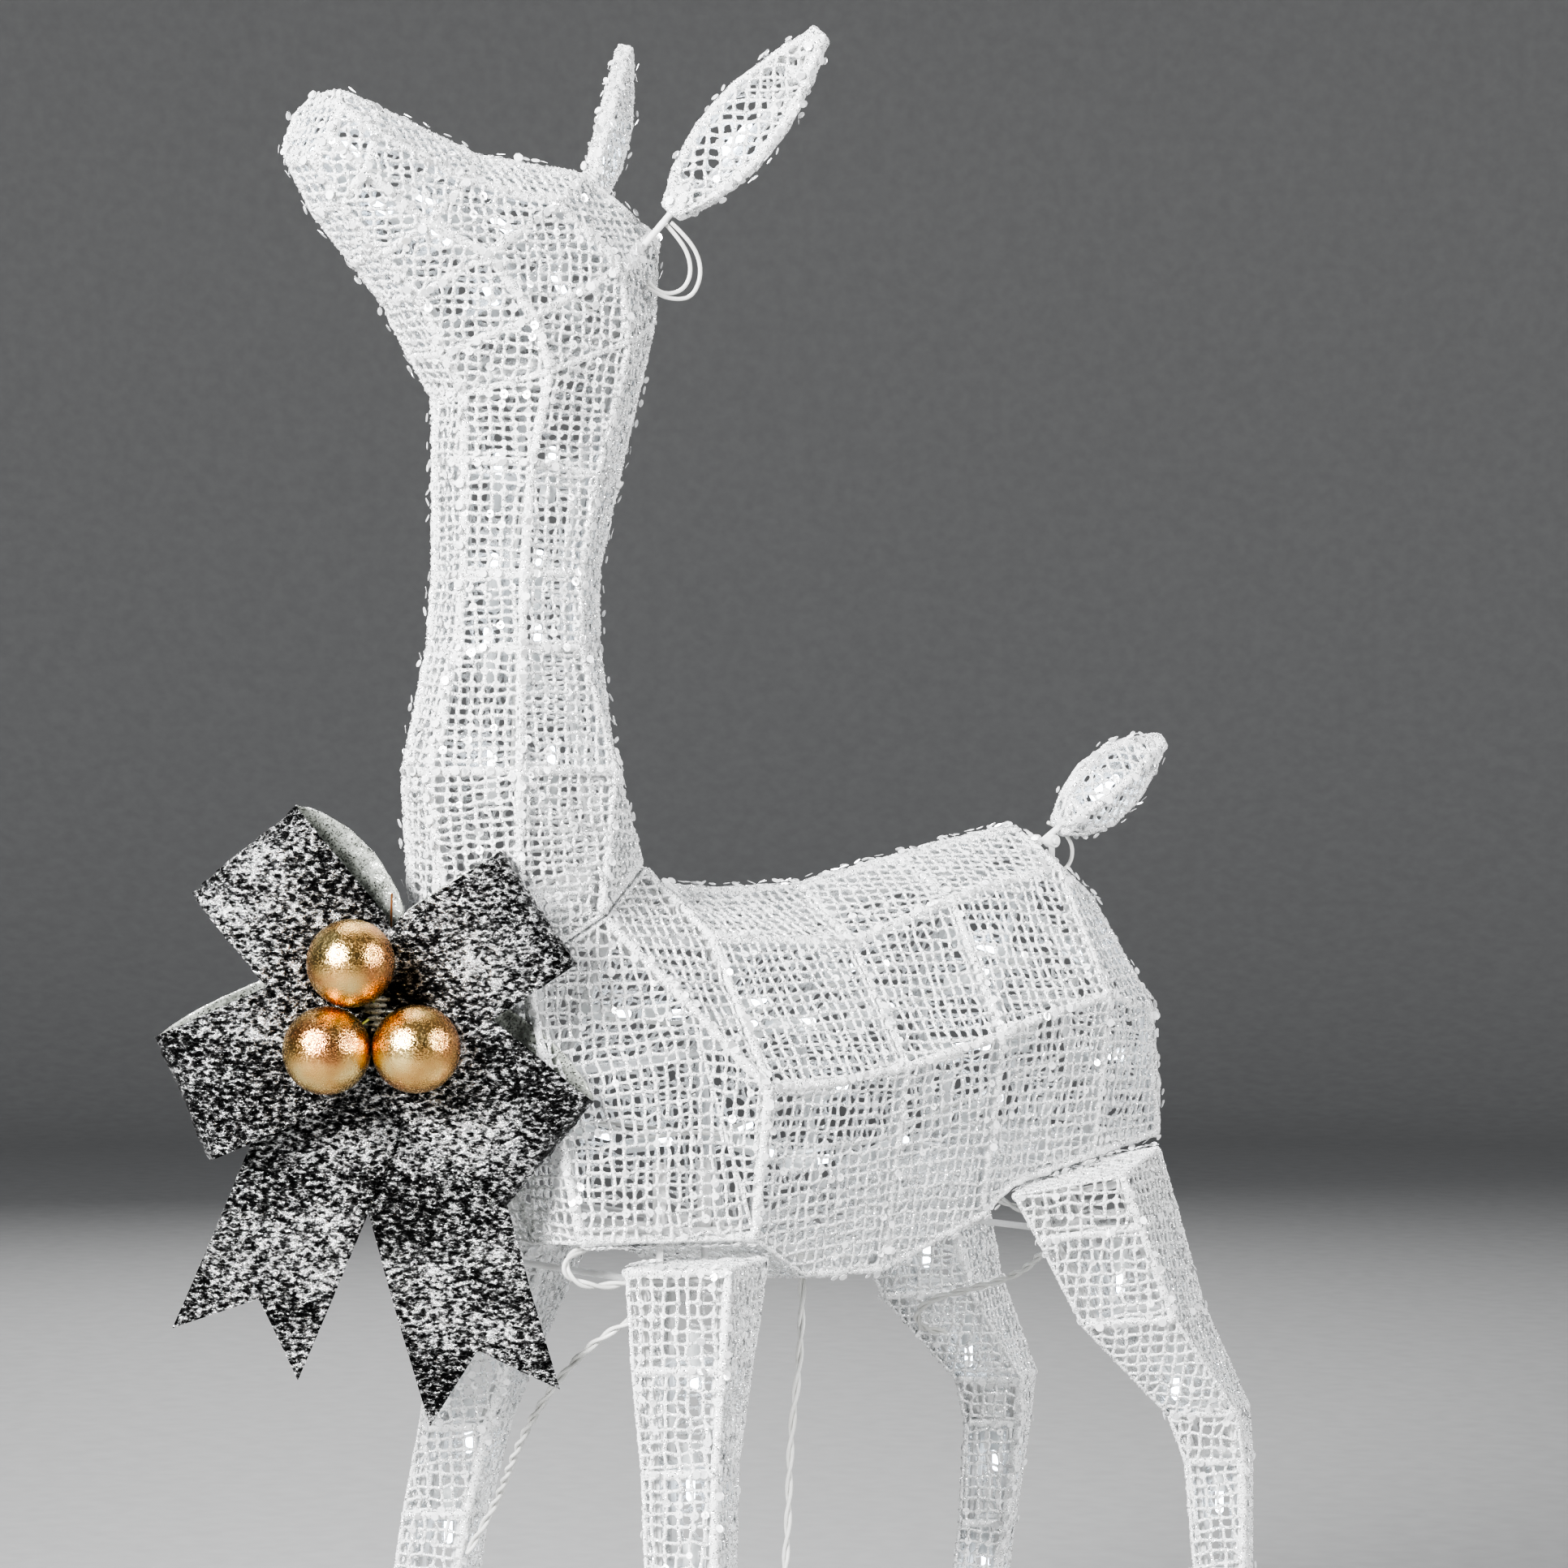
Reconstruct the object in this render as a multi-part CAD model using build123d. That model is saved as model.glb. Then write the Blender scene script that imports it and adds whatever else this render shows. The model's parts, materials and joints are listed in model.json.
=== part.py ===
from build123d import *
import math
import os
import numpy as np

# Light-up yard doe: plug-together steel wire sections covered with glitter net.
# Millimetres. +Z is up, the nose points to -Y and the doe's left side is +X.
# The origin is on the ground, midway between the bow and the tail. The positions below were taken
# a little further forward, and every piece is set back by SET_BACK as it is written.

# ---- driving dimensions -------------------------------------------------
WIRE = 4.0                # frame wire diameter
WELD = 4.6                # block at each welded crossing
WIRE_TUCK = 0.6           # a wire starts this far from its weld's centre
SKIN = 1.5                # thickness of the net skin
WIRE_INSET = 5.6          # from the outside of the skin to a wire's axis
PIN = 4.0                 # plug-in pin diameter
FIT = 0.05                # radial play of a pin in its socket
SOCKET_OD = 8.0
SOCKET_DEPTH = 38.0
SKIN_HOLE = 8.0           # hole in a skin where a pin or stem passes
LAMP = 5.0                # mini lamp diameter
LAMP_LENGTH = 14.0
LAMP_TIP = 0.4            # radius of the flat left on a lamp's round end
HOLDER = 9.0              # lamp holder diameter
HOLDER_LENGTH = 20.0
LEAD = 2.5                # one insulated lead
CORD = 5.0                # two leads twisted together
RIBBON = 76.0             # bow ribbon width
RIBBON_THICK = 1.0
BALL = 49.0               # glitter ball diameter
FOOT_PLATE = 2.0          # thickness of a foot plate
STAKE_HOLE = 8.0          # hole for a ground stake
SET_BACK = 6.8            # from the drawn positions to the part's own frame

# ---- lamps and wiring ---------------------------------------------------
LAMP_DEPTH = 18.0         # lamp axis below the skin
LAMP_SEAT = 6.0           # how far a lamp sits in its holder
WIRING_DEPTH = 28.0       # wiring below the skin
WIRING_BEND = 6.0
TRUNK_LAMPS = (2, 3, 4, 5, 7, 8)  # stations with lamps
SIDE_LAMP_DEPTH = 15.0            # neck and head lamps below the skin
SIDE_LAMP_BACK = 20.0             # a holder starts this far before its station
FRONT_LAMP_HEIGHTS = (300, 240, 185, 120)
HIND_LAMP_HEIGHTS = (330, 262, 190, 120)

# ---- seam between neck and trunk ----------------------------------------
SEAM = (0, -146, 533)             # centre of the trunk's neck mouth
SEAM_UP = (0, -0.479, 0.878)      # the way the neck lifts off
SEAM_BACK = (0, 0.878, 0.479)     # from the throat towards the back
NECK_GAP = 4.0
NECK_PINS = [(16, 46), (26, -34)]     # across, towards the back; both sides
NECK_PIN_TIP = 40.0               # depth of a pin's tip below the seam
NECK_BRACES = (27, 44)            # half length of the wire that carries each pair

# ---- leg plugs ----------------------------------------------------------
FRONT_PINS = (73.0, 16.0)     # across from the middle, and fore and aft of the leg's centre
HIND_PINS = (69.0, 18.5)
FRONT_SOCKET_MOUTHS = (365.0, 365.0)
HIND_SOCKET_MOUTHS = (389.0, 394.6)
PIN_TIP_GAP = 2.0         # from a pin's tip to the end of its socket
TOP_WIRE_SHORT = 2.2      # how far a pin's cross wire stops short of the frame's far side

# ---- cross bars: y, z, half length, and each clip's span from the middle --
FRONT_BAR = (-112, 335, 88, (73.5, 90))
HIND_BAR = (198, 345, 90, (74.6, 92))

# ---- feet ---------------------------------------------------------------
PLATE_MARGIN = 4.0        # leg's foot beyond the plate fore and aft
STAKE_REACH = 34.0        # stake hole inboard of the foot's centre
STAKE_TAB = 18.0          # width of the tab around the hole

# ---- ears and tail ------------------------------------------------------
EAR_ROOT = (38, -93, 932)
EAR_TIPS = {"left": (97, -11, 1053), "right": (97, -11, 1069)}
EAR_FACE = (0.42, -0.9, 0)        # the way the left ear's cup faces
EAR_BASE = 24.0                   # from the ear's root to its leaf
EAR_SOCKET = (34.0, 12.0)         # socket's bottom and mouth below the root
EAR_STEM = 31.0                   # stem length below the root
EAR_PLAY = 0.2                    # radial play of a stem in its socket
LEAF_SKIN = 1.0
LEAF_WIRE = 2.6
LEAF_WELD = 3.4
LEAF_EDGE = 3.2                   # half thickness of a leaf's rim
LEAF_RIM_INSET = 3.4              # from a rim to its wire's axis
LEAF_KEEL_INSET = 4.4
LEAF_HOLDER = (6.5, 14.0)         # lamp holder in a leaf: diameter, length
LEAF_LAMP = (4.5, 11.0)
EAR_LAMP = (44.0, -3.5)           # a lamp's start along the leaf and its offset to the front
TAIL_LAMP = 34.0
LEAF_END = 7.0                    # from a leaf's end to where its wires meet
# Leaf stations: share of the length, half width, depth of the keel.
LEAF = [(0.0, 6, 5), (0.14, 15, 11), (0.36, 22, 16), (0.6, 21, 16), (0.8, 14, 11), (0.94, 7, 7), (1.0, 4.5, 5)]
TAIL_HINGE = (0, 246, 583)
TAIL_TIP = (0, 346, 647)
TAIL_BASE = 17.0                  # from the hinge to the leaf
TAIL_EYE = (5.0, 12.0)            # each eye's span from the middle
TAIL_POST = 15.0                  # post length from the hinge down into the trunk

# ---- bow: facing out to the doe's left front ----------------------------
BOW = Plane(origin=(9, -256, 492), x_dir=(0.616, 0.788, 0), z_dir=(0.788, -0.616, 0))
BOW_LOOPS = {"upper_left": (130, 118), "upper_right": (33, 106), "lower_right": (-40, 124), "lower_left": (204, 121)}
BOW_TAILS = [(247, 210), (286, 232)]
BOW_ROOT = 12.0           # loops and tails start this far from the middle
LOOP_SPREAD = 33.0        # half angle between a loop's sides near the knot
LOOP_DEPTH = 22.0
TAIL_SPREAD = 18.0
TAIL_BEHIND = -3.0        # tails lie this far behind the loops' backs
TAIL_NOTCH = 42.0
KNOT_OD = 20.0
KNOT_SPAN = (-6.0, 14.0)
BALLS = [(-12.7, 28.2), (-25.9, -20.0), (23.4, -19.1)]
BALL_OUT = 41.0
BALL_CAP = (9.0, 3.0)     # cap diameter and height
BALL_STEM = 1.5
TIE_WIRE = 1.8
TIE_END = 1.2
TIE_HOOP = (0, -211, 508)         # where the tie wire meets the lowest neck hoop

# ---- cords --------------------------------------------------------------
GROMMET_OD = 12.0
GROMMET_LENGTH = 11.0
CLEAR = 0.2               # gap between parts that lie against each other
BEND_SHARE = 0.45         # share of the shorter run that a bend takes
COIL_OD = 60.0
COIL_ID = 30.0
COIL_HEIGHT = 15.2
COIL_CENTRE = (-15.5, -50)
TIE_THICK = 1.2
PLUG_SIZE = (30, 19, 15)
BLADE_SIZE = (16, 1.5, 6.3)
BLADE_PITCH = 12.7
LEAD_CORD_ROUTE = [
    (0, 52, 324), (0, 52, 280), (-3, 45, 224), (-1, 42, 166), (-4, 38, 112),
    (-2, 31, 66), (3, 16, 32), (9, -6, 12), (12, -30, 5), (12, -48, 4.1),
]
PLUG_CORD_ROUTE = [(-43, -48, 4.1), (-43, -26, 3.8), (-50, -4, 3.4), (-62, 10, 5.4), (-79, 21, 8), (-97, 28, 8)]
FRONT_JUMPER_ROUTE = [
    (64, -148, 357), (63, -158, 356), (62, -167, 351), (63, -167, 342), (66, -157, 336),
    (71, -145, 335), (77, -135, 337),
]
FRONT_LINK_ROUTE = [
    (80, -128, 318), (66, -139, 309), (44, -146, 292), (19, -148, 270), (-7, -145, 247),
    (-33, -137, 225), (-59, -126, 206), (-80, -118, 190), (-92, -118, 176), (-101, -124, 158),
]
HIND_JUMPER_ROUTE = [(18, 171, 374.5), (28, 177, 366), (42, 183, 359), (56, 187.5, 355.5), (68.5, 190, 356)]
HIND_LINK_ROUTE = [
    (72, 192, 340), (60, 196, 334), (42, 203, 324), (22, 207, 314), (0, 205, 306), (-20, 198, 300),
    (-40, 190, 294), (-54, 187, 285), (-60, 193, 275), (-63, 206, 269), (-67, 222, 268),
]
EAR_JUMPER_ROUTES = [
    [(45, -80, 944), (47, -70, 936), (48, -62, 925), (47, -60, 913),
     (45, -65, 902), (42, -74, 900), (39, -84, 902), (37, -92, 907)],
    [(43, -82, 943), (45, -73, 934), (45.5, -67, 924), (45, -66, 914),
     (43, -70, 906), (40, -78, 903), (38.5, -86.5, 905), (38, -92, 910)],
]
TAIL_JUMPER_ROUTE = [
    (-7.5, 257, 594.5), (-9, 269.5, 590.5), (-9, 279, 581), (-9, 279, 571), (-8, 271, 563), (-7, 262, 561),
]

# ---- the skin's corners, left side only, top to bottom ------------------
# Each row is one station: (x, y, z) of its corners.  The right side mirrors it.
TRUNK = [
    [(5, -79, 571), (20, -80, 569), (50, -129.5, 542), (50, -185.6, 511.4), (22, -212, 497)],
    [(4, -67, 564), (36, -67, 550), (78, -92, 494), (74, -164, 361), (30, -166, 358)],
    [(4, -55, 559), (52, -55, 531), (106, -55, 445), (92, -55, 358), (40, -55, 355)],
    [(4, -12, 556), (52, -12, 528), (106, -12, 446), (84, -12, 333), (40, -12, 329)],
    [(4, 49, 558), (52, 49, 525), (104, 49, 453), (80, 49, 332), (40, 49, 328)],
    [(4, 126, 574), (52, 126, 550), (101, 126, 469), (80, 126, 359), (40, 126, 355)],
    [(4, 150, 580), (51, 150, 556), (98, 150, 476), (80, 150, 376), (40, 150, 373)],
    [(4, 219, 592), (46, 219, 568), (92, 219, 490), (78, 219, 391), (40, 219, 388)],
    [(4, 250, 570), (36, 255, 548), (74, 270, 480), (62, 287, 400), (30, 288, 396)],
    [(4, 294, 520), (16, 297, 505), (40, 301, 480), (40, 308, 430), (16, 309, 425)],
]
NECK = [
    [(18, -81.9, 572.5), (50, -132.2, 545.1), (50, -189.2, 514.1), (18, -216, 499.4)],
    [(16, -99.5, 628), (45, -119, 628), (45, -186, 626), (13, -227, 626)],
    [(15, -110, 697), (40, -140, 697), (40, -181, 696), (14, -209.5, 696)],
    [(15, -111, 740), (38, -139, 740), (38, -178, 738), (15, -205, 738)],
    [(16, -98, 793), (42, -130, 796), (42, -176, 801), (15, -205, 803)],
    [(20, -75, 886), (50, -114, 872), (50, -169, 852), (16, -205, 839)],
]
HEAD = [
    [(20, -75, 887), (50, -114, 873), (50, -169, 853), (16, -205, 840)],
    [(26, -76, 937), (50, -119, 914.5), (50, -179.5, 882.5), (18, -219, 862)],
    [(24, -127, 970), (46, -160, 949), (46, -208, 916), (18, -238, 893)],
    [(20, -199, 975), (38, -217, 958), (38, -243, 932), (16, -260, 914)],
    [(18, -266, 997), (33, -273, 981), (32, -281, 957), (15, -286, 940)],
    [(14, -286, 1004), (24, -292, 994), (24, -299, 976), (12, -303, 965)],
]
# Leg stations: centre x, y, z, half width across, half width fore and aft, rise to the rear.
FRONT_LEG = [
    (88, -93, 345, 30, 50, 0),
    (101, -106, 290, 28, 42, 0),
    (113, -117, 234, 24, 33, 0),
    (123, -124, 181, 23, 31, 0),
    (150, -140, 4, 21, 28, 0),
]
HIND_LEG = [
    (88, 205, 382, 32, 59, 11.2),
    (91, 219, 350, 30.5, 56, 8),
    (96, 244, 292, 28, 50, 3),
    (101, 294, 230, 25, 34, 0),
    (105, 299, 200, 22, 28, 0),
    (112, 296, 133, 19, 24, 0),
    (128, 290, 4, 18, 22, 0),
]


# ---- small helpers ------------------------------------------------------
def unit(v):
    return np.array(v, float) / np.linalg.norm(v)


def save(shape, name):
    """Writes one sub-part; a list of solids becomes one group."""
    pieces = shape if isinstance(shape, list) else [shape]
    solids = [Pos(0, SET_BACK, 0) * s for piece in pieces for s in piece.solids()]
    out = solids[0] if len(solids) == 1 else Compound(children=solids)
    out.label = name
    export_step(out, f"parts/{name}.step")
    print(f"{name}: {len(solids)} solids, {sum(s.volume for s in solids):.0f} mm3")


def mirrored(rows):
    """Full rings from rows of left-side corners."""
    return [[(x, y, z) for x, y, z in row] + [(-x, y, z) for x, y, z in reversed(row)] for row in rows]


def leg_rings(stations, side):
    """Four-cornered rings of a leg: front, outer, rear, inner."""
    rings = []
    for x, y, z, across, along, rise in stations:
        ring = [(x, y - along, z - rise), (x + across, y, z), (x, y + along, z + rise), (x - across, y, z)]
        rings.append([(side * px, py, pz) for px, py, pz in ring][:: side])
    return rings


def cap_faces(count):
    """Triangles that close a ring, in a strip from its first corner to its middle."""
    faces = []
    low, high = 0, count - 1
    while high - low > 1:
        faces.append((low, low + 1, high))
        if high - low > 2:
            faces.append((low + 1, high - 1, high))
        low, high = low + 1, high - 1
    return faces


def stack_faces(rings):
    """Triangles of the closed surface through the rings, as corner indexes."""
    count = len(rings[0])
    faces = []
    for r in range(len(rings) - 1):
        for k in range(count):
            a, b = r * count + k, r * count + (k + 1) % count
            faces += [(a, b, b + count), (a, b + count, a + count)]
    last = (len(rings) - 1) * count
    for a, b, c in cap_faces(count):
        faces += [(c, b, a), (last + a, last + b, last + c)]
    return faces


def face_normal(points, face):
    """Newell normal of a polygon."""
    total = np.zeros(3)
    for k in range(len(face)):
        p, q = points[face[k]], points[face[(k + 1) % len(face)]]
        total += np.cross(p, q)
    return unit(total)


def inset_points(rings, distance):
    """Moves each corner inward so that it lies at the distance from the faces around it."""
    points = np.array([p for ring in rings for p in ring], float)
    faces = stack_faces(rings)
    centre = points.mean(axis=0)
    normals = [face_normal(points, f) for f in faces]
    volume = sum(np.dot(points[f[0]] - centre, n) for f, n in zip(faces, normals))
    sign = 1 if volume > 0 else -1
    out = points.copy()
    for i in range(len(points)):
        around = [n * sign for f, n in zip(faces, normals) if i in f]
        step = np.linalg.lstsq(np.array(around), -distance * np.ones(len(around)), rcond=0.05)[0]
        out[i] = points[i] + step
    return out, faces


def polyhedron(points, faces):
    panels = [Face(Wire.make_polygon([Vector(*points[i]) for i in f], close=True)) for f in faces]
    solid = Solid(Shell(panels))
    return solid if solid.volume > 0 else Solid(Shell([-p for p in panels]))


def skin(rings, holes=(), thickness=SKIN):
    """A closed net skin of even thickness, with round holes where pins pass."""
    outer = polyhedron(*inset_points(rings, 0))
    inner = polyhedron(*inset_points(rings, thickness))
    shell = outer - inner
    for start, end, diameter in holes:
        shell -= rod(start, end, diameter)
    return shell


def rod(start, end, diameter):
    """A straight round bar between two points."""
    start, end = Vector(*start), Vector(*end)
    plane = Plane(origin=start, z_dir=end - start)
    return extrude(plane * Circle(diameter / 2), (end - start).length)


def bead(point, diameter):
    return Pos(*point) * Sphere(diameter / 2)


def wire(start, end, size):
    """A straight frame wire, drawn with six flats."""
    start, end = Vector(*start), Vector(*end)
    plane = Plane(origin=start, z_dir=end - start)
    return extrude(plane * RegularPolygon(size / 2, 6), (end - start).length)


def wire_net(bars, beads, size, block):
    """Wires that start just inside the weld blocks at their ends."""
    solids = [Pos(*p) * Box(block, block, block) for p in beads]
    for a, b in bars:
        along = toward(a, b)
        start = moved(a, along, WIRE_TUCK) if a in beads else a
        end = moved(b, along, -WIRE_TUCK) if b in beads else b
        solids.append(wire(start, end, size))
    return solids


def weld(bars, beads, sockets=(), pins=()):
    """Fuses wires, weld blocks, round pins and sockets, and keeps the socket bores open."""
    solids = wire_net(bars, beads, WIRE, WELD)
    solids += [rod(a, b, PIN) for a, b in pins] + [rod(a, b, SOCKET_OD) for a, b in sockets]
    frame = solids[0].fuse(*solids[1:])
    for a, b in sockets:
        frame -= rod(a, b, PIN + 2 * FIT)
    return frame


def ring_lines(points, closed=True):
    """Bars joining points in order."""
    pairs = list(zip(points, points[1:]))
    return pairs + [(points[-1], points[0])] if closed else pairs


def wire_axes(rings):
    """Wire axis points of a section, one row per station, inset from its skin."""
    points, _ = inset_points(rings, WIRE_INSET)
    count = len(rings[0])
    return [[tuple(p) for p in points[r * count:(r + 1) * count]] for r in range(len(rings))]


def stringer(axes, corner):
    return ring_lines([row[corner] for row in axes], closed=False)


def cage(rings):
    """Hoops at every station and a stringer at every corner."""
    axes = wire_axes(rings)
    bars = [bar for row in axes for bar in ring_lines(row)]
    for corner in range(len(rings[0])):
        bars += stringer(axes, corner)
    return axes, bars


def middle(p, q, share=0.5):
    """The point between two points, at a share of the way."""
    return tuple((1 - share) * a + share * b for a, b in zip(p, q))


def moved(p, direction, distance):
    return tuple(a + distance * d for a, d in zip(p, direction))


def toward(p, q):
    """The direction from one point to another."""
    return unit(np.array(q, float) - np.array(p, float))


def ends_of(bars):
    return sorted({p for bar in bars for p in bar})


def swept(line, diameter):
    return sweep(Plane(origin=line @ 0, z_dir=line % 0) * Circle(diameter / 2), path=line)


def route_radii(points):
    """Bend radius at each corner of a cord's route: as large as its two runs allow."""
    radii = []
    for a, b, c in zip(points, points[1:], points[2:]):
        before, after = Vector(*b) - Vector(*a), Vector(*c) - Vector(*b)
        turn = math.radians(before.get_angle(after))
        radii.append(BEND_SHARE * min(before.length, after.length) / math.tan(turn / 2))
    return radii


def cord_tube(points, diameter, name):
    """A cord's tube; prints its length, its bend radii and its volume against section times length."""
    radii = route_radii(points)
    line = FilletPolyline(*points, radius=radii)
    body = swept(line, diameter)
    expected = math.pi * diameter ** 2 / 4 * line.length
    print(f"{name}: length {line.length:.1f}, volume ratio {body.volume / expected:.4f},",
          "radii", " ".join(f"{r:.0f}" for r in radii))
    return body


def lamp(base, direction, holder_size, lamp_size):
    """A lamp holder and its round-ended lamp, standing on a base point; sizes are (diameter, length)."""
    mouth = moved(base, direction, holder_size[1])
    pocket = moved(mouth, direction, -LAMP_SEAT)
    bulb = rod(pocket, moved(mouth, direction, lamp_size[1]), lamp_size[0])
    far_edge = bulb.edges().filter_by(GeomType.CIRCLE).sort_by_distance(base)[-1]
    bulb = fillet([far_edge], lamp_size[0] / 2 - LAMP_TIP)
    holder = rod(base, mouth, holder_size[0]) - rod(pocket, moved(mouth, direction, 1), lamp_size[0] + 2 * FIT)
    return holder, bulb


def save_lamps(places, name):
    """Writes the lamp holders and the lamps of one section as two groups."""
    pairs = [lamp(base, direction, (HOLDER, HOLDER_LENGTH), (LAMP, LAMP_LENGTH)) for base, direction in places]
    save([holder for holder, _ in pairs], f"{name}_lamp_holders")
    save([bulb for _, bulb in pairs], f"{name}_lamps")


# ---- trunk --------------------------------------------------------------
def seam_point(across, back, depth):
    """A point given from the seam's centre; depth goes down into the trunk."""
    return moved(moved((across, SEAM[1], SEAM[2]), SEAM_BACK, back), SEAM_UP, -depth)


def leg_sockets(stations, pins, mouths):
    """x, y and mouth height of a leg's two sockets."""
    centre = stations[0][1]
    return [(pins[0], centre - pins[1], mouths[0]), (pins[0], centre + pins[1], mouths[1])]


FRONT_SOCKETS = leg_sockets(FRONT_LEG, FRONT_PINS, FRONT_SOCKET_MOUTHS)
HIND_SOCKETS = leg_sockets(HIND_LEG, HIND_PINS, HIND_SOCKET_MOUTHS)


def trunk_cage(rings):
    """The trunk's hoops and stringers, with one ridge wire along the back."""
    axes = wire_axes(rings)
    ridge = [middle(row[0], row[-1]) for row in axes]
    hoops = [[top] + [row[k] for k in (1, 2, 3, -4, -3, -2)] for top, row in zip(ridge, axes)]
    bars = ring_lines([axes[0][k] for k in (1, 2, 3, 4, -5, -4, -3, -2)])
    bars.append((axes[1][3], axes[1][-4]))
    for hoop in (hoops[2], hoops[4], hoops[5], hoops[7], hoops[8], hoops[9]):
        bars += ring_lines(hoop)
    for corner in (1, 2, 3, -4, -3, -2):
        bars += stringer(axes, corner)
    return bars + ring_lines([middle(axes[0][1], axes[0][-2])] + ridge[1:], closed=False)


def socket_braces():
    """Cross wires that carry the leg and neck sockets, each beside its pair of sockets."""
    beside = SOCKET_OD / 2 + 1
    rows = [
        (FRONT_SOCKETS[0][1] - beside, 366.5, 76.5),
        (FRONT_SOCKETS[1][1] + beside, 366.5, 83),
        (HIND_SOCKETS[0][1] - beside, 391, 73),
        (HIND_SOCKETS[1][1] + beside, 399.4, 71),
    ]
    bars = [((-half, y, z), (half, y, z)) for y, z, half in rows]
    for (_, back), half in zip(NECK_PINS, NECK_BRACES):
        level = back + math.copysign(beside, back)
        bars.append((seam_point(-half, level, WIRE_INSET), seam_point(half, level, WIRE_INSET)))
    return bars


def tail_eyes():
    """Two eyes for the tail's pivot on posts, and the skin holes for the posts."""
    eyes, posts, holes = [], [], []
    for side in (1, -1):
        eye = [(side * x, TAIL_HINGE[1], TAIL_HINGE[2]) for x in TAIL_EYE]
        eyes.append(tuple(eye))
        post = middle(*eye)
        foot = moved(post, (0, 0, -1), TAIL_POST)
        posts.append((foot, moved(post, (0, 0, -1), PIN / 2 + 1)))
        posts.append((foot, (0, foot[1], foot[2])))
        holes.append((foot, post, SKIN_HOLE - 1))
    return eyes, posts, holes


def trunk():
    rings = mirrored(TRUNK)
    bars = trunk_cage(rings)
    beads = ends_of(bars)
    eyes, posts, holes = tail_eyes()
    bars += socket_braces() + posts
    sockets = list(eyes)
    for side in (1, -1):
        for x, y, z in FRONT_SOCKETS + HIND_SOCKETS:
            sockets.append(((side * x, y, z), (side * x, y, z + SOCKET_DEPTH)))
            holes.append(((side * x, y, z - 20), (side * x, y, z + 2), SKIN_HOLE))
        for across, back in NECK_PINS:
            mouth = seam_point(side * across, back, 3)
            sockets.append((mouth, seam_point(side * across, back, 3 + SOCKET_DEPTH)))
            holes.append((seam_point(side * across, back, -6), mouth, SKIN_HOLE))
    save(weld(bars, beads, sockets), "torso_frame")
    exit_point = LEAD_CORD_ROUTE[0]
    grommet_top = moved(exit_point, (0, 0, 1), GROMMET_LENGTH)
    holes.append((exit_point, grommet_top, GROMMET_OD + 0.6))
    save(skin(rings, holes), "torso_net")
    save(rod(exit_point, grommet_top, GROMMET_OD), "cord_grommet")
    trunk_lamps(rings)


def inside_trunk(rings, station, side, corner, depth):
    """A point at a depth below the middle of a trunk panel."""
    x, y, z = middle(rings[station][corner], rings[station][corner + 1])
    core = (0, y, (TRUNK[station][0][2] + TRUNK[station][3][2]) / 2)
    x, y, z = moved((x, y, z), toward((x, y, z), core), depth)
    return side * x, y, z


def trunk_lamps(rings):
    """Two rows of lamps along each side, and the wiring that joins the rows."""
    places, rows = [], []
    for side in (1, -1):
        for corner in (1, 2):
            seats = [inside_trunk(rings, station, side, corner, LAMP_DEPTH) for station in TRUNK_LAMPS]
            for seat, following in zip(seats, seats[1:]):
                ahead = toward(seat, following)
                places.append((moved(seat, ahead, -HOLDER_LENGTH / 2), ahead))
            places.append((seats[-1], toward(seats[-1], seats[-2])))
            rows.append([inside_trunk(rings, station, side, corner, WIRING_DEPTH) for station in TRUNK_LAMPS])
    save_lamps(places, "torso")
    route = rows[0] + rows[1][::-1] + rows[3] + rows[2][::-1]
    save(swept(FilletPolyline(*route, radius=WIRING_BEND), LEAD), "torso_wiring")


# ---- neck and head ------------------------------------------------------
def neck_frame(rings):
    """The neck's frame with its four plug-in pins, and the holes that its skin needs."""
    _, bars = cage(rings)
    beads = ends_of(bars)
    pins, holes = [], []
    hoop = -(NECK_GAP + WIRE_INSET)
    for (across, back), half in zip(NECK_PINS, NECK_BRACES):
        bars.append((seam_point(-half, back, hoop), seam_point(half, back, hoop)))
        for side in (1, -1):
            pins.append((seam_point(side * across, back, hoop), seam_point(side * across, back, NECK_PIN_TIP)))
            holes.append((seam_point(side * across, back, -8), seam_point(side * across, back, 2), SKIN_HOLE))
    holes.append((tie_ends()[0], TIE_HOOP, PIN))
    return weld(bars, beads, (), pins), holes


def ear_axis(side):
    """Root and direction of an ear's stem; side is 1 on the left and -1 on the right."""
    tip = EAR_TIPS["left" if side > 0 else "right"]
    root = (side * EAR_ROOT[0], EAR_ROOT[1], EAR_ROOT[2])
    return root, toward(root, (side * tip[0], tip[1], tip[2]))


def head_frame(rings):
    """The head's frame with its two ear sockets, and the holes that its skin needs."""
    axes, bars = cage(rings)
    sockets, holes, bores = [], [], []
    for side, corner in ((1, 1), (-1, -2)):
        root, along = ear_axis(side)
        bottom, mouth = [moved(root, along, -depth) for depth in EAR_SOCKET]
        sockets.append((bottom, mouth))
        bars.append((axes[1][corner], bottom))
        bores.append((moved(root, along, -EAR_STEM - 0.5), root))
        holes.append((moved(mouth, along, -3), moved(root, along, 12), SKIN_HOLE + 1))
    bars.append((sockets[0][0], sockets[1][0]))
    frame = weld(bars, ends_of(bars)).fuse(*[rod(a, b, SOCKET_OD) for a, b in sockets])
    for start, end in bores:
        frame -= rod(start, end, PIN + 2 * EAR_PLAY)
    return frame, holes


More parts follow.
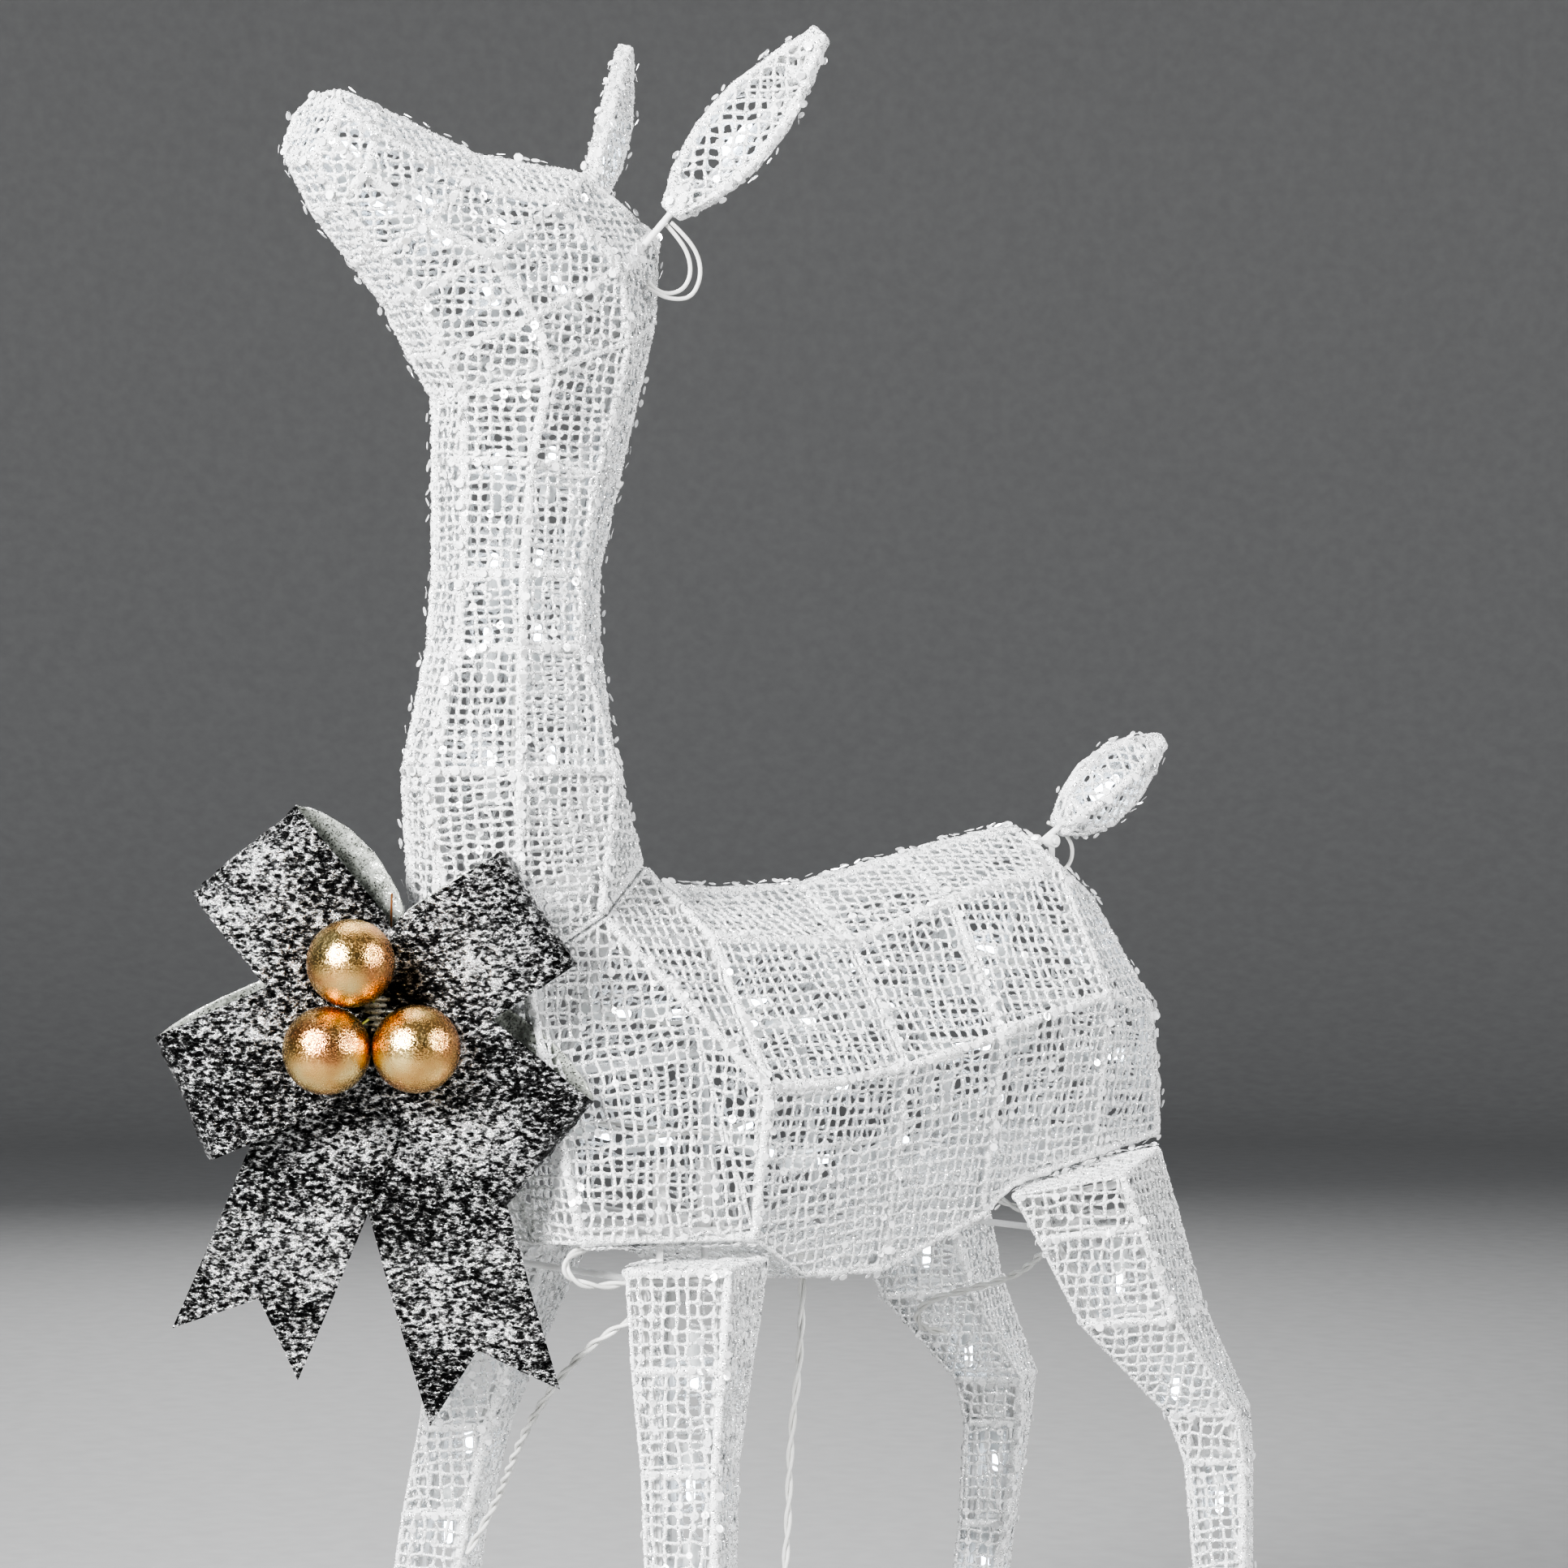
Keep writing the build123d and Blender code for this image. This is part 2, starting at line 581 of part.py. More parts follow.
def side_lamps(rings):
    """Lamps on both sides of the inner stations of a section, pointing along it."""
    places, path = [], []
    for r in range(1, len(rings) - 1):
        core, before, after = [np.mean(np.array(rings[k]), axis=0) for k in (r, r - 1, r + 1)]
        ahead = unit(after - before)
        for corner in (1, -3):
            spot = middle(rings[r][corner], rings[r][corner + 1])
            base = moved(spot, toward(spot, core), SIDE_LAMP_DEPTH)
            places.append((moved(base, ahead, -SIDE_LAMP_BACK), ahead))
        path.append(moved(core, (0, 1, 0), 3 * (-1) ** r))
    return places, swept(FilletPolyline(*path, radius=WIRING_BEND), LEAD)


def neck_and_head():
    neck_rings, head_rings = mirrored(NECK), mirrored(HEAD)
    frame, holes = neck_frame(neck_rings)
    save(frame, "neck_frame")
    save(skin(neck_rings, holes), "neck_net")
    frame, holes = head_frame(head_rings)
    save(frame, "head_frame")
    save(skin(head_rings, holes), "head_net")
    neck_places, neck_wire = side_lamps(neck_rings)
    head_places, head_wire = side_lamps(head_rings)
    save_lamps(neck_places + head_places, "neck")
    save([neck_wire, head_wire], "neck_wiring")


# ---- ears and tail ------------------------------------------------------
def leaf_rings(start, end, face, domed):
    """Six-cornered rings of a leaf; its front faces the given way and is flat or domed."""
    along = toward(start, end)
    across = unit(np.cross(along, face))
    out = np.cross(across, along)
    rings = []
    for share, half, depth in LEAF:
        centre = np.array(middle(start, end, share))
        bulge = depth if domed else LEAF_EDGE + 0.6
        profile = [(half, LEAF_EDGE), (0, bulge), (-half, LEAF_EDGE),
                   (-half, -LEAF_EDGE), (0, -depth), (half, -LEAF_EDGE)]
        rings.append([tuple(centre + across * w + out * o) for w, o in profile])
    return rings, along, across, out


def leaf_frame(rings, along, across, stem_start, keels):
    """A leaf's stem, its two rim wires and its keel wires."""
    rows = [np.array(ring) for ring in rings]
    base = tuple(rows[0].mean(axis=0) + along * LEAF_END)
    tip = tuple(rows[-1].mean(axis=0) - along * LEAF_END)
    bars = []
    for side, pair in ((1, (0, 5)), (-1, (2, 3))):
        rim = [tuple((row[pair[0]] + row[pair[1]]) / 2 - across * side * LEAF_RIM_INSET) for row in rows[1:-1]]
        bars += ring_lines([base] + rim + [tip], closed=False)
    for corner in keels:
        rib = [moved(row[corner], toward(row[corner], row.mean(axis=0)), LEAF_KEEL_INSET) for row in rows[1:-2]]
        bars += ring_lines([base] + rib + [tip], closed=False)
    stem = rod(stem_start, base, PIN)
    solids = wire_net(bars, ends_of(bars), LEAF_WIRE, LEAF_WELD)
    return stem.fuse(*solids)


def ears():
    for side, word in ((1, "left"), (-1, "right")):
        root, stem = ear_axis(side)
        x, y, z = EAR_TIPS[word]
        start = moved(root, stem, EAR_BASE)
        face = (side * EAR_FACE[0], EAR_FACE[1], EAR_FACE[2])
        rings, along, across, out = leaf_rings(start, (side * x, y, z), face, False)
        save(leaf_frame(rings, along, across, moved(root, stem, -EAR_STEM), (4,)), f"ear_{word}_frame")
        save(skin(rings, [(root, moved(start, stem, 3), PIN + 2)], LEAF_SKIN), f"ear_{word}_net")
        ahead, front = EAR_LAMP
        save(list(lamp(moved(moved(start, along, ahead), out, front), along, LEAF_HOLDER, LEAF_LAMP)),
             f"ear_{word}_lamp")


def tail():
    direction = toward(TAIL_HINGE, TAIL_TIP)
    start = moved(TAIL_HINGE, direction, TAIL_BASE)
    rings, along, across, _ = leaf_rings(start, TAIL_TIP, (1, 0, 0), True)
    half = TAIL_EYE[1] + 2
    pivot = rod(moved(TAIL_HINGE, (-1, 0, 0), half), moved(TAIL_HINGE, (1, 0, 0), half), PIN)
    save(leaf_frame(rings, along, across, TAIL_HINGE, (1, 4)).fuse(pivot), "tail_frame")
    save(skin(rings, [(moved(start, along, -3), moved(start, along, 3), PIN + 2)], LEAF_SKIN), "tail_net")
    save(list(lamp(moved(start, along, TAIL_LAMP), along, LEAF_HOLDER, LEAF_LAMP)), "tail_lamp")


# ---- legs ---------------------------------------------------------------
def foot_plate(station, side):
    """A flat steel plate under a foot, with a tab and a hole for a ground stake."""
    x, y, _, across, along, _ = station
    plate = RectangleRounded(2 * across, 2 * along - 2 * PLATE_MARGIN, 6)
    tab = Pos(-STAKE_REACH / 2, 0) * SlotCenterToCenter(STAKE_REACH, STAKE_TAB)
    flat = plate + tab - Pos(-STAKE_REACH, 0) * Circle(STAKE_HOLE / 2)
    solid = extrude(flat, FOOT_PLATE)
    if side < 0:
        solid = mirror(solid, Plane.YZ)
    return Pos(side * x, y, 0) * solid


def leg_frame(rings, stations, side, sockets, bar):
    """One leg's frame and the holes that its skin needs."""
    axes, bars = cage(rings)
    beads = ends_of(bars)
    pins, holes = [], []
    front, *_, rear = sorted(axes[0], key=lambda p: p[1])
    for x, y, z in sockets:
        height = front[2] + (y - front[1]) / (rear[1] - front[1]) * (rear[2] - front[2])
        foot = (side * x, y, height)
        bars.append((foot, (side * (2 * stations[0][0] - x - TOP_WIRE_SHORT), y, height)))
        pins.append((foot, (side * x, y, z + SOCKET_DEPTH - PIN_TIP_GAP)))
        holes.append(((side * x, y, height - 4), (side * x, y, z), SKIN_HOLE))
    bar_y, bar_z, _, clip = bar
    clip_ends = tuple((side * x, bar_y, bar_z) for x in clip)
    holes.append((moved(clip_ends[0], (-side, 0, 0), 12), moved(clip_ends[0], (side, 0, 0), 6), SKIN_HOLE + 1))
    front, *_, rear = sorted(axes[-1], key=lambda p: p[1])
    for x, y, z in (front, rear):
        pins.append(((x, y, z), (x, y, FOOT_PLATE)))
        holes.append(((x, y, z - 3), (x, y, FOOT_PLATE), SKIN_HOLE))
    return weld(bars, beads, [clip_ends], pins), holes


def leg_lamp_places(stations, side, heights):
    """Lamps that hang on the leg's centre line at the given heights."""
    places = []
    for height in heights:
        upper, lower = [(a, b) for a, b in zip(stations, stations[1:]) if a[2] >= height > b[2]][0]
        share = (upper[2] - height) / (upper[2] - lower[2])
        x, y, z = middle(upper[:3], lower[:3], share)
        places.append(((side * x, y, z + HOLDER_LENGTH / 2), (0, 0, -1)))
    return places


def leg_pair(name, stations, sockets, bar, lamp_heights):
    """Two mirrored legs joined by a cross bar."""
    feet, places = [], []
    for side, word in ((1, "left"), (-1, "right")):
        rings = leg_rings(stations, side)
        frame, holes = leg_frame(rings, stations, side, sockets, bar)
        save(frame, f"{name}_leg_frame_{word}")
        save(skin(rings, holes), f"{name}_leg_net_{word}")
        feet.append(foot_plate(stations[-1], side))
        places += leg_lamp_places(stations, side, lamp_heights)
    bar_y, bar_z, half, _ = bar
    save(rod((-half, bar_y, bar_z), (half, bar_y, bar_z), PIN), f"{name}_cross_bar")
    save(feet, f"{name}_foot_plates")
    save_lamps(places, f"{name}_leg")


# ---- bow ----------------------------------------------------------------
def bow_point(x, y, out):
    """A point in the bow's own directions: across, up and outwards from the knot."""
    return tuple(BOW.from_local_coords((x, y, out)))


def wedge(half_angle, reach, low, high):
    """A block that narrows to the knot and is one ribbon wide farther out."""
    slope = math.tan(math.radians(half_angle))
    full = RIBBON / 2 / slope
    near = BOW_ROOT * slope
    outline = [(BOW_ROOT, -near), (full, -RIBBON / 2), (reach, -RIBBON / 2),
               (reach, RIBBON / 2), (full, RIBBON / 2), (BOW_ROOT, near)]
    return Pos(0, 0, low) * extrude(make_face(Polyline(*outline, close=True)), high - low, dir=(0, 0, 1))


def bow_loop(reach):
    """A ribbon loop lying along +X, open at both edges, narrowed to the knot."""
    view = [(BOW_ROOT, 4), (0.35 * reach, 17), (0.7 * reach, LOOP_DEPTH), (0.92 * reach, 19),
            (reach, 11), (0.94 * reach, 3), (0.7 * reach, 0), (BOW_ROOT, 0)]
    outline = make_face(Polyline(*view, close=True))
    band = Plane.XZ * (outline - offset(outline, -RIBBON_THICK, kind=Kind.INTERSECTION))
    return extrude(band, RIBBON / 2, both=True) & wedge(LOOP_SPREAD, reach + 5, -1, LOOP_DEPTH + 1)


def bow_tail(reach):
    """A flat ribbon tail along +X with a fishtail end, behind the loops."""
    strip = wedge(TAIL_SPREAD, reach, TAIL_BEHIND, TAIL_BEHIND + RIBBON_THICK)
    notch = make_face(Polyline((reach + 1, -26), (reach - TAIL_NOTCH, 0), (reach + 1, 26), close=True))
    return strip - Pos(0, 0, TAIL_BEHIND - 1) * extrude(notch, RIBBON_THICK + 2, dir=(0, 0, 1))


def placed_on_bow(angle, shape):
    """Turns a shape to its angle on the bow and returns its solids."""
    pieces = shape.solids()
    return [BOW.location * Rot(0, 0, angle) * piece for piece in pieces]


def tie_ends():
    """Ends of the wire that ties the bow to the lowest neck hoop."""
    back = bow_point(0, 0, KNOT_SPAN[0] - TIE_WIRE / 2)
    return back, moved(TIE_HOOP, toward(TIE_HOOP, back), WIRE / 2 + CLEAR)


def ball_stem(x, y):
    """The cap and twisted stem that hold a ball to the knot."""
    centre = bow_point(x, y, BALL_OUT)
    root = bow_point(0.2 * x, 0.2 * y, KNOT_SPAN[1] + 4 * CLEAR)
    inward = toward(centre, root)
    cap_end = moved(centre, inward, BALL / 2 + BALL_CAP[1])
    cap = rod(cap_end, centre, BALL_CAP[0]) - bead(centre, BALL + 2 * CLEAR)
    return cap.fuse(rod(moved(cap_end, inward, -1), root, BALL_STEM))


def bow():
    for word, (angle, reach) in BOW_LOOPS.items():
        save(placed_on_bow(angle, bow_loop(reach)), f"bow_loop_{word}")
    tails = [placed_on_bow(angle, bow_tail(reach)) for angle, reach in BOW_TAILS]
    save(tails[0] + tails[1], "bow_tails")
    save(rod(bow_point(0, 0, KNOT_SPAN[0]), bow_point(0, 0, KNOT_SPAN[1]), KNOT_OD), "bow_knot")
    save([bead(bow_point(x, y, BALL_OUT), BALL) for x, y in BALLS], "bow_balls")
    save([ball_stem(x, y) for x, y in BALLS], "bow_ball_stems")
    free_end = FilletPolyline(bow_point(1.6, 11.5, 3), bow_point(6, 44, 3), bow_point(7, 66, 8), radius=8)
    save([rod(*tie_ends(), TIE_WIRE), swept(free_end, TIE_END)], "bow_tie_wire")


# ---- cords --------------------------------------------------------------
def lead_cord():
    """The lead: down to the ground, put away in a tied coil, and on to the plug."""
    save(cord_tube(LEAD_CORD_ROUTE, CORD, "lead_cord"), "lead_cord")
    save(cord_tube(PLUG_CORD_ROUTE, CORD, "lead_cord_end"), "lead_cord_end")
    lift = TIE_THICK + CLEAR
    coil = Pos(*COIL_CENTRE, lift) * extrude(Circle(COIL_OD / 2) - Circle(COIL_ID / 2), COIL_HEIGHT)
    for inner, outer in ((LEAD_CORD_ROUTE[-1], LEAD_CORD_ROUTE[-2]), (PLUG_CORD_ROUTE[0], PLUG_CORD_ROUTE[1])):
        coil -= rod(inner, outer, CORD + 2 * CLEAR)
    save(coil, "lead_cord_coil")
    width = (COIL_OD - COIL_ID) / 2
    inside = (width + 3 * CLEAR, COIL_HEIGHT + 3 * CLEAR)
    tie = Box(3, inside[0] + 2 * TIE_THICK, inside[1] + 2 * TIE_THICK) - Box(4, *inside)
    tie_y = COIL_CENTRE[1] + (COIL_OD + COIL_ID) / 4
    save(Pos(COIL_CENTRE[0], tie_y, COIL_HEIGHT / 2 + lift + CLEAR / 2) * tie, "coil_tie")


def plug():
    """The plug's body and its two blades, in line with the end of the cord."""
    last, end = PLUG_CORD_ROUTE[-2:]
    turn = math.degrees(math.atan2(end[1] - last[1], end[0] - last[0]))
    place = Pos(*end) * Rot(0, 0, turn)
    body = Box(*PLUG_SIZE)
    body = fillet(body.edges().filter_by(Axis.X), 3)
    save(place * (Pos(PLUG_SIZE[0] / 2, 0, 0) * body), "plug_body")
    blade = Pos(PLUG_SIZE[0] + BLADE_SIZE[0] / 2, 0, 0) * Box(*BLADE_SIZE)
    save([place * (Pos(0, y, 0) * blade) for y in (-BLADE_PITCH / 2, BLADE_PITCH / 2)], "plug_blades")


def flipped(route):
    """A route mirrored to the right side."""
    return [(-x, y, z) for x, y, z in route]


def jumpers():
    """Loose leads between the plug-together sections."""
    for name, route in (("front_jumper", FRONT_JUMPER_ROUTE), ("front_link", FRONT_LINK_ROUTE),
                        ("hind_jumper", HIND_JUMPER_ROUTE), ("hind_link", HIND_LINK_ROUTE)):
        save(cord_tube(route, CORD, name), name)
    save([cord_tube(route, LEAD, "ear_jumper") for route in EAR_JUMPER_ROUTES], "ear_jumper_left")
    save([cord_tube(flipped(route), LEAD, "ear_jumper") for route in EAR_JUMPER_ROUTES], "ear_jumper_right")
    save(cord_tube(TAIL_JUMPER_ROUTE, LEAD, "tail_jumper"), "tail_jumper")


os.makedirs("parts", exist_ok=True)
trunk()
neck_and_head()
ears()
tail()
leg_pair("front", FRONT_LEG, FRONT_SOCKETS, FRONT_BAR, FRONT_LAMP_HEIGHTS)
leg_pair("hind", HIND_LEG, HIND_SOCKETS, HIND_BAR, HIND_LAMP_HEIGHTS)
bow()
lead_cord()
plug()
jumpers()
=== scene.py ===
import json
import math

import bpy
import numpy as np
from mathutils import Matrix, Vector, noise
from mathutils.bvhtree import BVHTree


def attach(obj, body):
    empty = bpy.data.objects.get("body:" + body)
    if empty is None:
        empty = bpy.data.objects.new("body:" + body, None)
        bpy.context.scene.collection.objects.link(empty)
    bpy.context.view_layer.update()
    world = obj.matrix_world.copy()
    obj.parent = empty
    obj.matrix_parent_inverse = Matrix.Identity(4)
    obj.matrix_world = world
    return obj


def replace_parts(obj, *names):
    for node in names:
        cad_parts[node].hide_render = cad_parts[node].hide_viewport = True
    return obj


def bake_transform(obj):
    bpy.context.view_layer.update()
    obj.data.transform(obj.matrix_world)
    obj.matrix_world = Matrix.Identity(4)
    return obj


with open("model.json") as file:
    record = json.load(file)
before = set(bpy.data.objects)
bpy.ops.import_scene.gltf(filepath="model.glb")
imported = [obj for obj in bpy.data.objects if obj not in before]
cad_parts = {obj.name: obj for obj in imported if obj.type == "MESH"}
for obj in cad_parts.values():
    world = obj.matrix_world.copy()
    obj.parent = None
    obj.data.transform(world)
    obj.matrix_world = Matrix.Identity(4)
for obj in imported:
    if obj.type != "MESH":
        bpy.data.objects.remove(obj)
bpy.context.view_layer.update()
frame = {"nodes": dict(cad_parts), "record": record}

MM = 0.001
SET_BACK = 6.8           # from the routes' and the bow's drawn positions to the part's own frame, in mm
UP = Vector((0, 0, 1))


# ---- camera ---------------------------------------------------------------
CAMERA_PLACE = Vector((2.0725, -1.5744, 0.619))
CAMERA_AIM = Vector((0, 0.0448, 0.619))


def make_camera():
    data = bpy.data.cameras.new("camera")
    data.lens, data.sensor_width = 100, 36
    camera = bpy.data.objects.new("camera", data)
    bpy.context.collection.objects.link(camera)
    camera.location = CAMERA_PLACE
    camera.rotation_euler = (CAMERA_AIM - CAMERA_PLACE).to_track_quat("-Z", "Y").to_euler()
    bpy.context.scene.camera = camera


make_camera()


# ---- mesh helpers -----------------------------------------------------------
def new_object(name, verts, faces, material, smooth=True):
    """A mesh object from arrays; faces is an array with a row of vertex numbers for each face, or several."""
    mesh = bpy.data.meshes.new(name)
    faces = faces if isinstance(faces, list) else [faces]
    faces = [np.asarray(some, np.int32) for some in faces]
    sides = np.concatenate([np.full(len(some), some.shape[1], np.int32) for some in faces])
    mesh.vertices.add(len(verts))
    mesh.vertices.foreach_set("co", np.asarray(verts, np.float32).ravel())
    mesh.loops.add(int(sides.sum()))
    mesh.loops.foreach_set("vertex_index", np.concatenate([some.ravel() for some in faces]))
    mesh.polygons.add(len(sides))
    mesh.polygons.foreach_set("loop_start", np.concatenate([[0], np.cumsum(sides)[:-1]]).astype(np.int32))
    mesh.update(calc_edges=True)
    mesh.validate()
    mesh.polygons.foreach_set("use_smooth", np.full(len(mesh.polygons), smooth))
    obj = bpy.data.objects.new(name, mesh)
    bpy.context.collection.objects.link(obj)
    for m in material if isinstance(material, (list, tuple)) else [material]:
        mesh.materials.append(m)
    return obj


def finish_piece(obj, body):
    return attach(obj, body)


class Batch:
    """Collects quads from many small shapes into one mesh."""

    def __init__(self):
        self.verts, self.faces, self.count = [], [], 0

    def add(self, verts, faces):
        self.verts.append(np.asarray(verts, float).reshape(-1, 3))
        self.faces.append(np.asarray(faces, int) + self.count)
        self.count += len(self.verts[-1])

    def make(self, name, material):
        return new_object(name, np.concatenate(self.verts), np.concatenate(self.faces), material)


def unit_rows(a):
    return a / np.maximum(np.linalg.norm(a, axis=1, keepdims=True), 1e-12)


def full_turn(count):
    """Evenly spaced angles all round."""
    return np.arange(count) * 2 * math.pi / count


def circles(side, other, count):
    """Points of a unit circle in each row's plane, which the two directions span."""
    angle = full_turn(count)
    return side[:, None] * np.cos(angle)[None, :, None] + other[:, None] * np.sin(angle)[None, :, None]


def carried_sides(along, first):
    """Two directions across a line at each of its points, carried along it with no twist."""
    side = np.cross(along[0], first)
    sides = []
    for t in along:
        side = side - t * np.dot(side, t)
        side = side / np.linalg.norm(side)
        sides.append(side)
    return np.array(sides), np.cross(along, sides)


def tube_faces(rings, sides):
    """Quads of a tube whose rings of vertices follow one another."""
    r, k = np.meshgrid(np.arange(rings - 1), np.arange(sides), indexing="ij")
    nxt = (k + 1) % sides
    quads = np.stack([r * sides + k, r * sides + nxt, (r + 1) * sides + nxt, (r + 1) * sides + k], -1)
    return quads.reshape(-1, 4)


def tube_along(points, radii, sides):
    """Vertices and quads of a tube through points, with no twist; its ends are drawn in."""
    points = np.asarray(points, float)
    radii = np.broadcast_to(np.asarray(radii, float), (len(points),))
    side, other = carried_sides(unit_rows(np.gradient(points, axis=0)), (0.31, 0.52, 0.79))
    points, side, other = (np.concatenate([a[:1], a, a[-1:]]) for a in (points, side, other))
    radii = np.concatenate([[1e-5], radii, [1e-5]])
    verts = points[:, None, :] + circles(side, other, sides) * radii[:, None, None]
    return verts.reshape(-1, 3), tube_faces(len(points), sides)


def run_along(line):
    """How far each point of a line is from its start, along the line."""
    return np.concatenate([[0], np.cumsum(np.linalg.norm(np.diff(line, axis=0), axis=1))])


def points_at(line, at):
    """The points of a line at given distances from its start."""
    run = run_along(line)
    return np.stack([np.interp(at, run, line[:, k]) for k in range(3)], 1)


def evenly(line, step):
    """The same line, with points a step apart, and its length."""
    length = run_along(line)[-1]
    count = max(int(round(length / step)), 4)
    return points_at(line, np.linspace(0, length, count + 1)), length


# ---- materials --------------------------------------------------------------
class Shader:
    """A node material with a Principled shader and a few short ways to wire it."""

    def __init__(self, name):
        self.material = bpy.data.materials.new(name)
        self.material.use_nodes = True
        self.tree = self.material.node_tree
        self.bsdf = self.tree.nodes["Principled BSDF"]
        self.place = self.node("ShaderNodeTexCoord").outputs["Object"]

    def node(self, kind, **settings):
        node = self.tree.nodes.new(kind)
        for key, value in settings.items():
            setattr(node, key, value)
        return node

    def link(self, a, b):
        self.tree.links.new(a, b)

    def set(self, **values):
        for key, value in values.items():
            self.bsdf.inputs[key.replace("_", " ")].default_value = value

    def to(self, value, socket):
        self.link(value, self.bsdf.inputs[socket])

    def noise(self, scale, detail, roughness=0.5):
        node = self.node("ShaderNodeTexNoise")
        node.inputs["Scale"].default_value = scale
        node.inputs["Detail"].default_value = detail
        node.inputs["Roughness"].default_value = roughness
        self.link(self.place, node.inputs["Vector"])
        return node.outputs["Fac"]

    def cells(self, scale, output="Distance"):
        node = self.node("ShaderNodeTexVoronoi")
        node.inputs["Scale"].default_value = scale
        self.link(self.place, node.inputs["Vector"])
        return node.outputs[output]

    def ramp(self, value, stops):
        node = self.node("ShaderNodeValToRGB")
        elements = node.color_ramp.elements
        while len(elements) < len(stops):
            elements.new(0.5)
        for element, (place, color) in zip(elements, stops):
            element.position = place
            element.color = (*color, 1)
        self.link(value, node.inputs["Fac"])
        return node.outputs["Color"]

    def math(self, operation, a, b):
        node = self.node("ShaderNodeMath", operation=operation)
        for socket, value in zip(node.inputs, (a, b)):
            if isinstance(value, (int, float)):
                socket.default_value = value
            else:
                self.link(value, socket)
        return node.outputs[0]

    def channel(self, color, which="Red"):
        node = self.node("ShaderNodeSeparateColor")
        self.link(color, node.inputs[0])
        return node.outputs[which]

    def bump(self, height, distance, strength=1.0, after=None):
        node = self.node("ShaderNodeBump")
        node.inputs["Distance"].default_value = distance
        node.inputs["Strength"].default_value = strength
        self.link(height, node.inputs["Height"])
        if after is not None:
            self.link(after, node.inputs["Normal"])
        return node.outputs["Normal"]


def grey(v):
    return (v, v, v)


def net_material(name, low, high):
    """Thread soaked in white glue and sprinkled with clear and silver glitter."""
    s = Shader(name)
    flakes = s.channel(s.cells(1100, "Color"))
    s.to(s.ramp(s.noise(140, 3), [(0.3, low), (0.7, high)]), "Base Color")
    s.to(s.ramp(flakes, [(0.78, grey(0.0)), (0.82, grey(0.85))]), "Metallic")
    s.to(s.ramp(flakes, [(0.0, grey(0.62)), (0.75, grey(0.5)), (0.82, grey(0.16))]), "Roughness")
    grain = s.bump(s.cells(1100), 0.5 * MM, 0.8)
    s.to(s.bump(s.noise(420, 3), 0.8 * MM, 0.6, grain), "Normal")
    return s.material


def sequin_material():
    """Small round flakes of pearly foil."""
    s = Shader("sequin_foil")
    tone = s.cells(160, "Color")
    s.to(s.ramp(s.channel(tone), [(0.0, (0.86, 0.87, 0.88)), (0.7, (0.98, 0.98, 0.98))]), "Base Color")
    s.to(s.ramp(s.channel(tone, "Green"), [(0.5, grey(0.0)), (1.0, grey(0.7))]), "Metallic")
    s.set(Roughness=0.24)
    s.to(s.bump(s.noise(900, 2), 0.1 * MM, 0.4), "Normal")
    return s.material


def paint_material():
    """White powder coat with a faint orange peel and worn, dusty patches."""
    s = Shader("white_paint")
    s.to(s.ramp(s.noise(35, 5), [(0.3, (0.7, 0.7, 0.69)), (0.65, (0.86, 0.86, 0.86))]), "Base Color")
    s.to(s.ramp(s.noise(90, 3), [(0.3, grey(0.36)), (0.8, grey(0.55))]), "Roughness")
    s.to(s.bump(s.noise(700, 2), 0.15 * MM, 0.5), "Normal")
    return s.material


def holder_material():
    """Translucent white moulded plastic."""
    s = Shader("holder_plastic")
    s.to(s.ramp(s.noise(60, 3), [(0.3, (0.72, 0.74, 0.74)), (0.7, (0.86, 0.88, 0.88))]), "Base Color")
    s.set(Roughness=0.32, Subsurface_Weight=0.35, Subsurface_Radius=(0.004, 0.004, 0.004))
    s.to(s.bump(s.noise(500, 2), 0.08 * MM, 0.5), "Normal")
    return s.material


def lamp_material():
    """A lit cool-white lamp, bluer in patches."""
    s = Shader("lamp_lens")
    s.set(Base_Color=(0.85, 0.92, 1, 1), Roughness=0.12, Emission_Strength=7)
    s.to(s.ramp(s.noise(300, 2), [(0.3, (0.62, 0.78, 1.0)), (0.7, (0.92, 0.97, 1.0))]), "Emission Color")
    return s.material


def vinyl_material():
    """White vinyl insulation with soft scuffs."""
    s = Shader("cord_vinyl")
    s.to(s.ramp(s.noise(80, 4), [(0.3, (0.68, 0.68, 0.65)), (0.7, (0.8, 0.8, 0.78))]), "Base Color")
    s.to(s.ramp(s.noise(200, 3), [(0.3, grey(0.28)), (0.8, grey(0.48))]), "Roughness")
    s.to(s.bump(s.noise(600, 2), 0.1 * MM, 0.35), "Normal")
    return s.material


